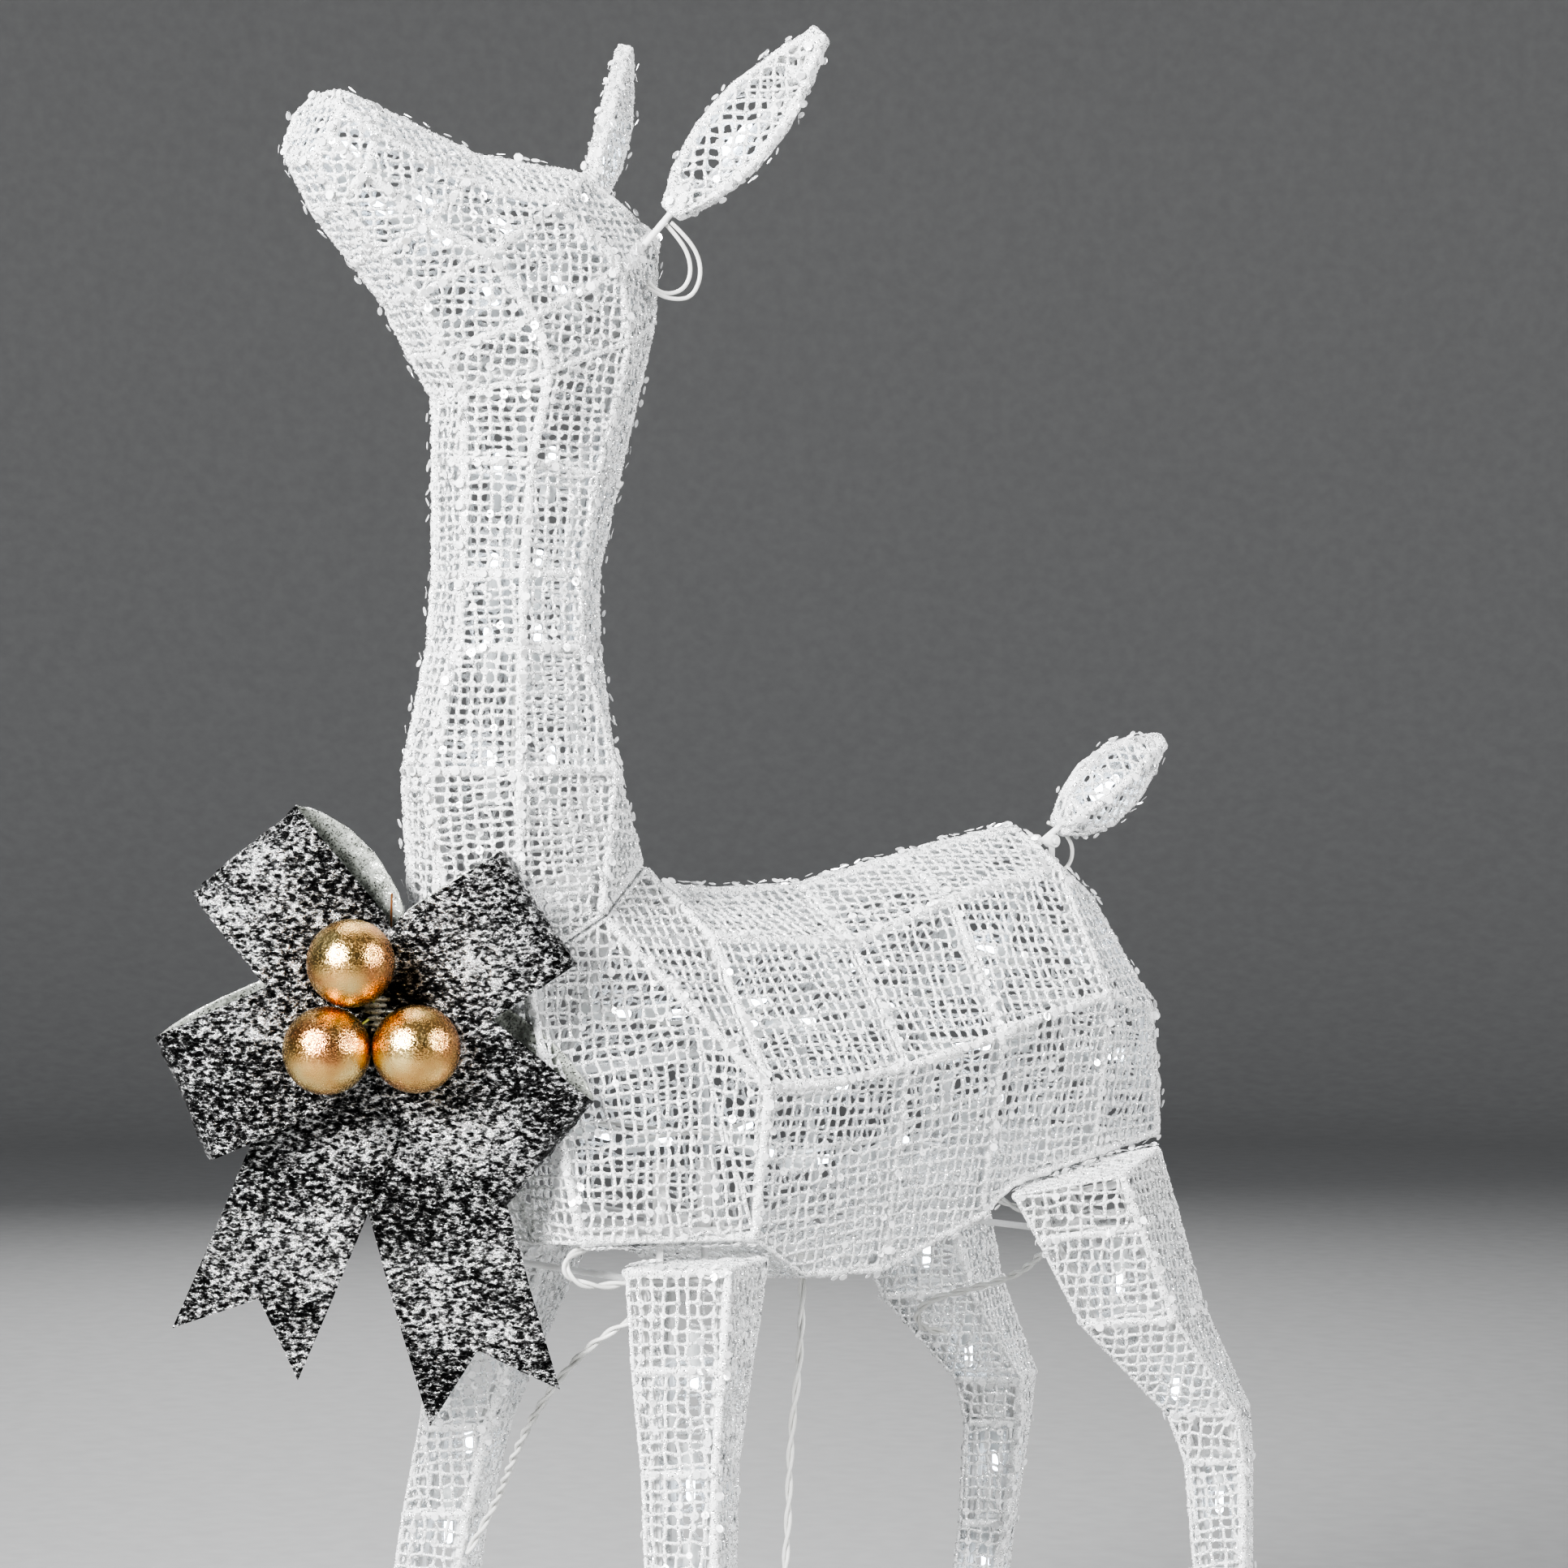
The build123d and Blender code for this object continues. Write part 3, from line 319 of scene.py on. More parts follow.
def ribbon_material():
    """Crinkled metallic ribbon: silver foil with painted shade in black creases and painted highlight on
    bright flanks, painted lighter and darker zones, fine glitter.
    """
    s = Shader("ribbon_foil")
    squeeze = s.node("ShaderNodeMapping")
    squeeze.inputs["Scale"].default_value = (1, 1, 1.9)
    s.link(s.place, squeeze.inputs["Vector"])
    s.place = squeeze.outputs["Vector"]
    dents = s.noise(230, 3, 0.6)
    fine = s.noise(620, 2, 0.6)
    both = s.math("ADD", s.math("MULTIPLY", dents, 0.72), s.math("MULTIPLY", fine, 0.28))
    # Painted highlight and painted shade: broad lighter and darker zones of the foil's colour stand in for
    # where the softboxes reflect and where they don't.
    painted_highlight_zones = s.math("SUBTRACT", s.noise(17, 1), 0.5)
    tone = s.math("ADD", both, s.math("MULTIPLY", painted_highlight_zones, 0.24))
    sparkle = s.channel(s.cells(1500, "Color"))
    # Painted shade and painted highlight: the foil's colour follows the crinkle height, black in the dents
    # and white on the crests.
    s.to(s.ramp(tone, [(0.43, grey(0.006)), (0.5, grey(0.08)), (0.56, grey(0.5)), (0.62, grey(1.0))]),
         "Base Color")
    s.set(Metallic=0.95)
    s.to(s.ramp(sparkle, [(0.0, grey(0.33)), (0.8, grey(0.24)), (0.86, grey(0.08))]), "Roughness")
    s.to(s.bump(both, 4.2 * MM, 1.0), "Normal")
    return s.material


def ribbon_back_material():
    """The ribbon's inner side: a grey-green woven backing with sparse glitter."""
    s = Shader("ribbon_backing")
    s.to(s.ramp(s.noise(420, 4, 0.6), [(0.3, (0.2, 0.21, 0.19)), (0.62, (0.48, 0.5, 0.46))]), "Base Color")
    sparkle = s.channel(s.cells(1300, "Color"))
    s.to(s.ramp(sparkle, [(0.8, grey(0.05)), (0.86, grey(0.9))]), "Metallic")
    s.to(s.ramp(sparkle, [(0.0, grey(0.7)), (0.86, grey(0.2))]), "Roughness")
    s.to(s.bump(s.noise(800, 3), 0.5 * MM, 0.8), "Normal")
    return s.material


def ball_material():
    """A shiny gold ball dusted with copper glitter, thicker in patches."""
    s = Shader("copper_glitter")
    patches = s.noise(38, 3)
    grains = s.cells(1250, "Color")
    s.to(s.ramp(patches, [(0.34, (0.62, 0.3, 0.13)), (0.5, (0.8, 0.5, 0.2)), (0.66, (0.83, 0.64, 0.3))]),
         "Base Color")
    s.set(Metallic=1.0)
    s.to(s.ramp(s.channel(grains), [(0.0, grey(0.1)), (0.6, grey(0.2)), (1.0, grey(0.38))]), "Roughness")
    grain = s.math("MULTIPLY", s.cells(1250), s.math("SUBTRACT", 1.15, patches))
    s.to(s.bump(grain, 0.45 * MM, 0.6), "Normal")
    return s.material


def wire_material(name, low, high, metallic):
    """Thin craft wire with rubbed patches."""
    s = Shader(name)
    s.to(s.ramp(s.noise(150, 4), [(0.3, low), (0.7, high)]), "Base Color")
    s.set(Metallic=metallic, Roughness=0.38)
    s.to(s.bump(s.noise(900, 2), 0.1 * MM, 0.5), "Normal")
    return s.material


def floor_material():
    """Matt pale grey paint, a little uneven."""
    s = Shader("floor_paint")
    s.to(s.ramp(s.noise(40, 4), [(0.3, grey(0.31)), (0.7, grey(0.34))]), "Base Color")
    s.set(Roughness=0.7)
    s.to(s.bump(s.noise(120, 3), 0.3 * MM, 0.2), "Normal")
    return s.material


NET = net_material("glitter_net", (0.86, 0.87, 0.87), (0.98, 0.98, 0.98))
SEQUIN = sequin_material()
PAINT = paint_material()
HOLDER = holder_material()
LENS = lamp_material()
VINYL = vinyl_material()
FOIL = ribbon_material()
BACKING = ribbon_back_material()
COPPER = ball_material()
BROWN_WIRE = wire_material("brown_wire", (0.16, 0.07, 0.03), (0.36, 0.17, 0.08), 0.7)
GREEN_WIRE = wire_material("green_wire", (0.3, 0.32, 0.06), (0.55, 0.56, 0.14), 0.2)
BLADE = wire_material("blade_metal", (0.55, 0.42, 0.2), (0.76, 0.62, 0.34), 1.0)


# ---- cords --------------------------------------------------------------------
LEAD = 2.5 * MM          # one insulated lead
CORD_TWIST = 0.040       # length of one full turn of the lead cord's pair
JUMPER_TWIST = 0.03
RELIEF_LENGTH = 28 * MM
SAMPLES = 12             # points of a route's line between two of its control points


def route_line(name, route):
    """Closely spaced points of the smooth curve that a cord's route controls, in metres."""
    curve = bpy.data.curves.new(name + "_line", "CURVE")
    curve.dimensions = "3D"
    curve.resolution_u = SAMPLES
    spline = curve.splines.new("NURBS")
    spline.points.add(len(route) - 1)
    for point, (x, y, z) in zip(spline.points, route):
        point.co = (MM * x, MM * (y + SET_BACK), MM * z, 1)
    spline.order_u = 3
    spline.use_endpoint_u = True
    holder = bpy.data.objects.new(name + "_line", curve)
    mesh = bpy.data.meshes.new_from_object(holder)
    line = np.array([v.co for v in mesh.vertices], float)
    bpy.data.objects.remove(holder)
    bpy.data.meshes.remove(mesh)
    return line


def twisted_pair(name, line, twist):
    """Two leads wound round a line."""
    batch = Batch()
    side, other = carried_sides(unit_rows(np.gradient(line, axis=0)), (0.3, 0.5, 0.8))
    for start in (0, 1 / 2):
        turn = 2 * math.pi * (run_along(line) / twist + start)[:, None]
        batch.add(*tube_along(line + LEAD / 2 * (np.cos(turn) * side + np.sin(turn) * other), LEAD / 2, 8))
    return batch.make(name, VINYL)


def strain_relief(line):
    """A ridged, tapered sleeve on the last stretch of a lead, against its plug."""
    end = run_along(line)[-1]
    share = np.linspace(0, 1, 40)
    sleeve = points_at(line, end + (share - 1) * RELIEF_LENGTH)
    radii = (2.9 + 1.5 * share + 0.35 * np.cos(share * 14 * math.pi)) * MM
    obj = new_object("plug_strain_relief", *tube_along(sleeve, radii, 20), VINYL)
    return finish_piece(obj, "torso")


LEAD_CORD_ROUTE = [
    (0, 52, 324), (0, 52, 280), (-3, 45, 224), (-1, 42, 166), (-4, 38, 112),
    (-2, 31, 66), (3, 16, 32), (9, -6, 12), (12, -30, 5), (12, -48, 4.1),
]
PLUG_CORD_ROUTE = [
    (-43, -48, 4.1), (-43, -26, 3.8), (-50, -4, 3.4), (-62, 10, 5.4), (-79, 21, 8), (-97, 28, 8),
]
FRONT_JUMPER_ROUTE = [
    (64, -148, 357), (63, -158, 356), (62, -167, 351), (63, -167, 342), (66, -157, 336),
    (71, -145, 335), (77, -135, 337),
]
FRONT_LINK_ROUTE = [
    (80, -128, 318), (66, -139, 309), (44, -146, 292), (19, -148, 270), (-7, -145, 247),
    (-33, -137, 225), (-59, -126, 206), (-80, -118, 190), (-92, -118, 176), (-101, -124, 158),
]
HIND_JUMPER_ROUTE = [(18, 171, 374.5), (28, 177, 366), (42, 183, 359), (56, 187.5, 355.5), (68.5, 190, 356)]
HIND_LINK_ROUTE = [
    (72, 192, 340), (60, 196, 334), (42, 203, 324), (22, 207, 314), (0, 205, 306), (-20, 198, 300),
    (-40, 190, 294), (-54, 187, 285), (-60, 193, 275), (-63, 206, 269), (-67, 222, 268),
]
EAR_JUMPER_ROUTES = [
    [(45, -80, 944), (47, -70, 936), (48, -62, 925), (47, -60, 913),
     (45, -65, 902), (42, -74, 900), (39, -84, 902), (37, -92, 907)],
    [(43, -82, 943), (45, -73, 934), (45.5, -67, 924), (45, -66, 914),
     (43, -70, 906), (40, -78, 903), (38.5, -86.5, 905), (38, -92, 910)],
]
TAIL_JUMPER_ROUTE = [
    (-7.5, 257, 594.5), (-9, 269.5, 590.5), (-9, 279, 581), (-9, 279, 571), (-8, 271, 563), (-7, 262, 561),
]
COIL_CENTRE = (-15.5, -50)
COIL_LAYERS = 3
COIL_RADII = (27.5, 22.5, 17.5)
COIL_LOW = 4.1           # axis of the lowest turns above the ground
COIL_RISE = 4.9
COIL_STEPS = 14          # route points in one turn
STEP_OVER = 0.3          # the last share of a turn, in which it moves over to the next one's place


def coil_route():
    """Clockwise turns in layers, alternately inwards and outwards, and half a turn back at the bottom."""
    turns = [
        (radius, COIL_LOW + COIL_RISE * layer)
        for layer in range(COIL_LAYERS)
        for radius in (COIL_RADII[::-1] if layer % 2 else COIL_RADII)
    ]
    total = len(turns) * COIL_STEPS + COIL_STEPS // 2
    turns.append((COIL_RADII[0], COIL_LOW))
    cx, cy = COIL_CENTRE
    points = []
    for k in range(1, total):
        share = k / COIL_STEPS
        low = min(int(share), len(turns) - 2)
        mix = min(max((share - low - (1 - STEP_OVER)) / STEP_OVER, 0), 1)
        mix = mix * mix * (3 - 2 * mix)
        radius, z = (a + mix * (b - a) for a, b in zip(turns[low], turns[low + 1]))
        angle = -2 * math.pi * share
        points.append((cx + radius * math.cos(angle), cy + radius * math.sin(angle), z))
    return points


def lead_cord():
    """The lead cord: down from the belly, coiled on the ground and on to its plug."""
    route = LEAD_CORD_ROUTE + coil_route() + PLUG_CORD_ROUTE
    line, _ = evenly(route_line("lead", route), 2.5 * MM)
    cord = twisted_pair("lead", line, CORD_TWIST)
    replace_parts(cord, "lead_cord", "lead_cord_coil", "lead_cord_end")
    ends = ["plug_body", "plug_blades", "coil_tie", "cord_grommet", strain_relief(line)]
    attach(cord, "torso")


def jumper(name, route, body, other, paired=True):
    """A lead or a pair of leads from one section to another."""
    line, length = evenly(route_line(name, route), 1.2 * MM)
    if paired:
        cord = twisted_pair(name, line, JUMPER_TWIST)
    else:
        cord = new_object(name, *tube_along(line, LEAD / 2, 10), VINYL)
    if other == body:
        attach(cord, body)
    else:
        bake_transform(cord)
    return cord


lead_cord()
for node, route, body, other in (
    ("front_jumper", FRONT_JUMPER_ROUTE, "torso", "front_legs"),
    ("front_link", FRONT_LINK_ROUTE, "front_legs", "front_legs"),
    ("hind_jumper", HIND_JUMPER_ROUTE, "torso", "hind_legs"),
    ("hind_link", HIND_LINK_ROUTE, "hind_legs", "hind_legs"),
):
    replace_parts(jumper(node + "_leads", route, body, other), node)
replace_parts(jumper("tail_jumper_lead", TAIL_JUMPER_ROUTE, "torso", "tail", paired=False), "tail_jumper")
for word, side in (("left", 1), ("right", -1)):
    for k, route in enumerate(EAR_JUMPER_ROUTES):
        mirrored = [(side * x, y, z) for x, y, z in route]
        piece = jumper(f"ear_{word}_lead_{k + 1}", mirrored, "neck", f"ear_{word}", paired=False)
        if k == 0:
            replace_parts(piece, f"ear_jumper_{word}")


# ---- net skins ------------------------------------------------------------------
NODES = frame["nodes"]
RNG = np.random.default_rng(11)
WIDE_CELL = np.array([7.3, 7.3]) * MM
CLOSE_CELL = np.array([5.9, 7.2]) * MM      # on the neck and the head
THREAD = 1.08 * MM       # radius between knots
CLOSE_THREAD = 1.22 * MM
THREAD_RINGS = 4
THREAD_SIDES = 5
KNOT_SWELL = 1.62
WAIST = 0.93
HEM = 2.8 * MM           # radius of the net that is rolled round a wire
HEM_STEP = 1.6 * MM
SEQUIN_RADIUS = 2.45 * MM
SEQUIN_THICK = 0.25 * MM
SEQUIN_SIDES = 8
SEQUIN_STEP = 13 * MM    # along the hems
MAX_THREADS = 5200       # threads in one exported piece

WELD = 0.05 * MM
SHORT_EDGE = 3 * MM
WIRE_NEAR = 5.2 * MM     # an edge with a wire this near is hemmed to it
STRAIGHT = 0.995         # cosine between faces that lie in one plane
SAME_PANEL = 0.83        # cosine between faces that one lattice can cover
SMALL_PANEL = 2e-5       # in square metres
RAY_REACH = 0.5
DROP = 0.06              # how far to each side of a panel's plane its faces may lie, in metres


def node_mesh(name):
    """Vertices and triangles of a CAD node, with coincident vertices made one."""
    mesh = NODES[name].data
    mesh.calc_loop_triangles()
    co = np.zeros(len(mesh.vertices) * 3)
    mesh.vertices.foreach_get("co", co)
    tri = np.zeros(len(mesh.loop_triangles) * 3, np.int32)
    mesh.loop_triangles.foreach_get("vertices", tri)
    co = co.reshape(-1, 3)
    key = np.round(co / WELD).astype(np.int64)
    _, first, back = np.unique(key, axis=0, return_index=True, return_inverse=True)
    return co[first], back.reshape(-1)[tri].reshape(-1, 3)


def tree_of(co, tri):
    return BVHTree.FromPolygons([Vector(c) for c in co], np.asarray(tri).tolist())


def faces_out(tree, place, normal):
    """Whether a face looks out of its shell: rays leaving an inner face meet the walls around it."""
    normal = Vector(normal)
    side = normal.orthogonal().normalized()
    other = normal.cross(side)
    start = Vector(place) + normal * 0.1 * MM
    rays = [normal]
    for turn in full_turn(8):
        rays.append((normal + 0.75 * (math.cos(turn) * side + math.sin(turn) * other)).normalized())
    return sum(tree.ray_cast(start, ray, RAY_REACH)[0] is not None for ray in rays) <= 3


class Skin:
    """The outer faces of a net skin: which way is out, its panels, and the edges that a wire lies behind."""

    def __init__(self, net, wires):
        self.co, tri = node_mesh(net)
        self.wires = tree_of(*node_mesh(wires))
        own = tree_of(self.co, tri)
        a, b, c = (self.co[tri[:, k]] for k in range(3))
        cross = np.cross(b - a, c - a)
        area = np.linalg.norm(cross, axis=1) / 2
        normal = cross / np.maximum(2 * area, 1e-15)[:, None]
        centre = (a + b + c) / 3
        keep = [k for k in range(len(tri)) if area[k] > 1e-8 and faces_out(own, centre[k], normal[k])]
        self.tri, self.normal, self.area = tri[keep], normal[keep], area[keep]
        self.find_hems()
        self.find_panels()

    def find_hems(self):
        """Hems run over a wire all their length; folds are the other edges that bend."""
        self.faces_at = {}
        for f, t in enumerate(self.tri):
            for u, v in ((t[0], t[1]), (t[1], t[2]), (t[2], t[0])):
                self.faces_at.setdefault((min(u, v), max(u, v)), []).append(f)
        hems, folds = set(), set()
        for (u, v), faces in self.faces_at.items():
            p, q = self.co[u], self.co[v]
            if np.linalg.norm(q - p) < SHORT_EDGE:
                continue
            far = max(self.wires.find_nearest(Vector(p + s * (q - p)))[3] for s in (0.25, 0.5, 0.75))
            if far < WIRE_NEAR:
                hems.add((u, v))
            elif len(faces) == 1 or np.dot(self.normal[faces[0]], self.normal[faces[1]]) < STRAIGHT:
                folds.add((u, v))
        self.hems, self.folds = sorted(hems), sorted(folds)

    def find_panels(self):
        """Groups of faces between hems that look much the same way."""
        neighbours = [[] for _ in self.tri]
        for edge, faces in self.faces_at.items():
            if edge in self.hems or len(faces) < 2:
                continue
            for f in faces:
                neighbours[f] += [g for g in faces if g != f]
        seen, self.panels = set(), []
        for f in range(len(self.tri)):
            if f in seen:
                continue
            group, stack = [], [f]
            seen.add(f)
            while stack:
                g = stack.pop()
                group.append(g)
                for h in neighbours[g]:
                    if h not in seen and np.dot(self.normal[f], self.normal[h]) > SAME_PANEL:
                        seen.add(h)
                        stack.append(h)
            if self.area[group].sum() > SMALL_PANEL:
                self.panels.append(group)

    def edge_normal(self, edge):
        return unit_rows(self.normal[self.faces_at[edge]].sum(0)[None])[0]

    def moved_in(self, distance):
        """The corners, moved inwards."""
        total = np.zeros_like(self.co)
        for t, n, a in zip(self.tri, self.normal, self.area):
            total[t] += n * math.sqrt(a)
        return self.co - distance * unit_rows(total)


def drop(tree, at, normal):
    """Where a line through a point, along the panel's normal, meets the panel; None beside it."""
    return tree.ray_cast(at + normal * DROP, -normal, 2 * DROP)[0]


def thread_directions(normal):
    """Which ways a panel's threads run: up the section, or along it on a level panel, and across."""
    along = UP - normal * normal.z
    if along.length < 0.45:
        along = Vector((0, 1, 0)) - normal * normal.y
    along = Matrix.Rotation(RNG.uniform(-0.06, 0.06), 3, normal) @ along.normalized()
    return along, normal.cross(along)


def last_inside(tree, start, end, spot, normal):
    """The farthest spot of a panel on the way from one knot's place to the next, found by halving."""
    inside, outside = 0.0, 1.0
    for _ in range(6):
        half = (inside + outside) / 2
        hit = drop(tree, start.lerp(end, half), normal)
        if hit is None:
            outside = half
        else:
            inside, spot = half, hit
    return spot


def panel_net(skin, group, cell):
    """A slightly irregular square mesh over one panel: its threads, its knots and which way it looks."""
    tri = skin.tri[group]
    used = np.unique(tri)
    co = skin.co[used]
    tree = tree_of(co, np.searchsorted(used, tri))
    normal = (skin.normal[group] * skin.area[group][:, None]).sum(0)
    normal = Vector(normal / np.linalg.norm(normal))
    depth = normal * normal.dot(Vector(co.mean(0)))
    along, across = thread_directions(normal)
    local = co @ np.array([along, across]).T
    low = np.floor(local.min(0) / cell).astype(int) - 1
    high = np.ceil(local.max(0) / cell).astype(int) + 2
    flat, spots = {}, {}
    for i in range(low[0], high[0]):
        for j in range(low[1], high[1]):
            shift = RNG.normal(0, 0.1, 2)
            wave = 0.25 * math.sin(0.31 * i + 0.23 * j)
            u, v = (i + shift[0] + wave) * cell[0], (j + shift[1] - wave) * cell[1]
            flat[i, j] = depth + along * float(u) + across * float(v)
            spot = drop(tree, flat[i, j], normal)
            if spot is not None:
                spots[i, j] = spot
    threads = []
    for (i, j), spot in spots.items():
        for di, dj in ((1, 0), (0, 1), (-1, 0), (0, -1)):
            other = (i + di, j + dj)
            if other in spots:
                if di + dj > 0 and RNG.random() > 0.012:
                    threads.append((spot, spots[other]))
            elif other in flat:
                end = last_inside(tree, flat[i, j], flat[other], spot, normal)
                if (end - spot).length > 0.6 * MM:
                    threads.append((spot, end))
    return threads, list(spots.values()), normal


def thread_mesh(threads, normals, thick):
    """Threads as tubes that swell at their knots and wander a little between them."""
    a, b = (np.array([thread[k] for thread in threads], float) for k in (0, 1))
    count = len(a)
    along = unit_rows(b - a)
    side = unit_rows(np.cross(along, np.asarray(normals, float)))
    out = np.cross(side, along)
    shift = RNG.normal(0, 0.28 * MM, (count, 2))
    middle = np.array([0, 1, 1, 0])
    centre = a[:, None] + (b - a)[:, None] * np.linspace(0, 1, THREAD_RINGS)[None, :, None]
    centre += side[:, None] * (shift[:, :1] * middle)[..., None]
    centre += out[:, None] * (shift[:, 1:] * middle)[..., None]
    radius = thick * RNG.uniform(0.84, 1.16, (count, THREAD_RINGS)) * (KNOT_SWELL, WAIST, WAIST, KNOT_SWELL)
    verts = centre[:, :, None] + circles(side, out, THREAD_SIDES)[:, None] * radius[:, :, None, None]
    starts = (np.arange(count) * THREAD_RINGS * THREAD_SIDES)[:, None]
    quads = (tube_faces(THREAD_RINGS, THREAD_SIDES).reshape(1, -1) + starts).reshape(-1, 4)
    first = np.arange(THREAD_SIDES)[None, ::-1] + starts
    last = np.arange(THREAD_SIDES)[None] + (THREAD_RINGS - 1) * THREAD_SIDES + starts
    return verts.reshape(-1, 3), [quads, np.concatenate([first, last])]


def sequin_mesh(places, normals):
    """Thin round discs, tilted a little, that lie on the net."""
    places, normals = np.asarray(places, float), unit_rows(np.asarray(normals, float))
    count = len(places)
    tilted = unit_rows(normals + RNG.normal(0, 0.24, (count, 3)))
    side = unit_rows(np.cross(tilted, RNG.normal(0, 1, (count, 3))))
    size = SEQUIN_RADIUS * RNG.uniform(0.8, 1.15, count)
    ring = circles(side, np.cross(tilted, side), SEQUIN_SIDES)
    base = (places + normals * THREAD * 1.15)[:, None] + ring * size[:, None, None]
    verts = np.concatenate([base, base + tilted[:, None] * SEQUIN_THICK], 1).reshape(-1, 3)
    low = np.arange(count) * SEQUIN_SIDES * 2
    top = low + SEQUIN_SIDES
    faces = []
    for q in range(0, SEQUIN_SIDES - 2, 2):
        faces.append(np.stack([low, low + q + 3, low + q + 2, low + q + 1], 1))
        faces.append(np.stack([top, top + q + 1, top + q + 2, top + q + 3], 1))
    for q in range(SEQUIN_SIDES):
        nxt = (q + 1) % SEQUIN_SIDES
        faces.append(np.stack([low + q, low + nxt, top + nxt, top + q], 1))
    return verts, np.concatenate(faces)


def hem_tube(start, end, radius, sides):
    """A lumpy roll of net round a frame wire."""
    line, _ = evenly(np.array([start, end], float), HEM_STEP)
    bumps = np.convolve(RNG.normal(0, 1, len(line) + 8), np.hanning(7), "same")[4:-4]
    shake = RNG.normal(0, 0.1 * MM, line.shape)
    return tube_along(line + shake, radius * (1 + 0.075 * bumps), sides)


def hems_of(name, skin, body, thick):
    """Rolls of net on all hems, and a thin seam on each sharp fold."""
    batch = Batch()
    inner = skin.moved_in(0.55 * HEM)
    for u, v in skin.hems:
        batch.add(*hem_tube(inner[u], inner[v], HEM, 10))
    for u, v in skin.folds:
        pair = skin.faces_at[u, v]
        if len(pair) == 2 and np.dot(*skin.normal[pair]) < SAME_PANEL:
            batch.add(*hem_tube(skin.co[u], skin.co[v], thick * 1.1, 6))
    return finish_piece(batch.make(name + "_hems", NET), body)


def sequins_of(name, skin, body, knots, density):
    """Sequins on a share of the knots and, more closely, along the hems."""
    chosen = RNG.random(len(knots)) < density
    stuck = [knot for knot, c in zip(knots, chosen) if c]
    for u, v in skin.hems:
        p, q = skin.co[u], skin.co[v]
        normal = skin.edge_normal((u, v))
        for s in RNG.uniform(0.03, 0.97, int(np.linalg.norm(q - p) / SEQUIN_STEP)):
            stuck.append((p + s * (q - p) + normal * HEM * 0.7, normal))
    discs = new_object(name + "_sequins", *sequin_mesh(*zip(*stuck)), SEQUIN, smooth=False)
    return finish_piece(discs, body)


def net_skin(name, net, wires, body, cell=WIDE_CELL, thick=THREAD, density=1 / 5):
    """The whole look of one section's skin: net, rolled hems and sequins."""
    skin = Skin(net, wires)
    threads, normals, knots = [], [], []
    for group in skin.panels:
        some, spots, normal = panel_net(skin, group, cell)
        threads += some
        normals += [normal] * len(some)
        knots += [(spot, normal) for spot in spots]
    extras = [hems_of(name, skin, body, thick), sequins_of(name, skin, body, knots, density)]
    pieces = max(1, math.ceil(len(threads) / MAX_THREADS))
    share = math.ceil(len(threads) / pieces)
    for k in range(pieces):
        part = slice(k * share, (k + 1) * share)
        obj = new_object(f"{name}_{k + 1}", *thread_mesh(threads[part], normals[part], thick), NET)
        finish_piece(obj, body)
        if k == 0:
            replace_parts(obj, net)


net_skin("trunk_net", "torso_net", "torso_frame", "torso")
net_skin("neck_skin_net", "neck_net", "neck_frame", "neck", CLOSE_CELL, CLOSE_THREAD, 1 / 3)
net_skin("head_skin_net", "head_net", "head_frame", "neck", CLOSE_CELL, CLOSE_THREAD, 1 / 3)
for pair in ("front", "hind"):
    for word in ("left", "right"):
        net_skin(f"{pair}_{word}_net", f"{pair}_leg_net_{word}", f"{pair}_leg_frame_{word}", f"{pair}_legs")
for word in ("left", "right"):
    net_skin(f"ear_{word}_skin_net", f"ear_{word}_net", f"ear_{word}_frame", f"ear_{word}")
net_skin("tail_skin_net", "tail_net", "tail_frame", "tail")


# ---- bow ---------------------------------------------------------------------------
BOW = Vector((9, -256 + SET_BACK, 492)) * MM
BOW_X = Vector((0.616, 0.788, 0))
BOW_OUT = Vector((0.788, -0.616, 0))
RIBBON = 76 * MM
RIBBON_THICK = 0.5 * MM
LOOP_BEND = 11 * MM      # radius of a loop's round end
LOOPS = {"upper_left": (130, 118, -17), "upper_right": (33, 106, 2), "lower_right": (-40, 124, 11),
         "lower_left": (204, 121, -6)}      # direction, reach and how far the back layer stands aside
TAILS = [(247, 210, -3), (286, 232, -2)]    # direction, reach and how far it stands out
NOTCH = 34 * MM
KNOT_RADIUS = 11 * MM
COLUMNS = 42             # points across a loop or a tail
LOOP_ROWS = 110
TAIL_ROWS = 96
BALL_RADIUS = 24.5 * MM
BALLS = [(-12.7, 28.2), (-25.9, -20.0), (23.4, -19.1)]
BALL_OUT = 41 * MM


def in_bow(x, y, out):
    return BOW + BOW_X * x + UP * y + BOW_OUT * out


def across_strip(column, columns):
    """From -1 at one edge of a ribbon to 1 at the other."""
    return 2 * column / (columns - 1) - 1


def crumple(grid, amount, seed):
    """How far each point of a ribbon is pushed out, by folded noise at three sizes."""
    height = np.zeros(grid.shape[:2])
    for i, j in np.ndindex(height.shape):
        p = Vector(grid[i, j]) + Vector((seed, 0.37 * seed, 0))
        creases = 0.5 * abs(noise.noise(p * 120)) + 0.3 * noise.noise(p * 260)
        height[i, j] = 0.55 * noise.noise(p * 55) + creases
    return height * amount


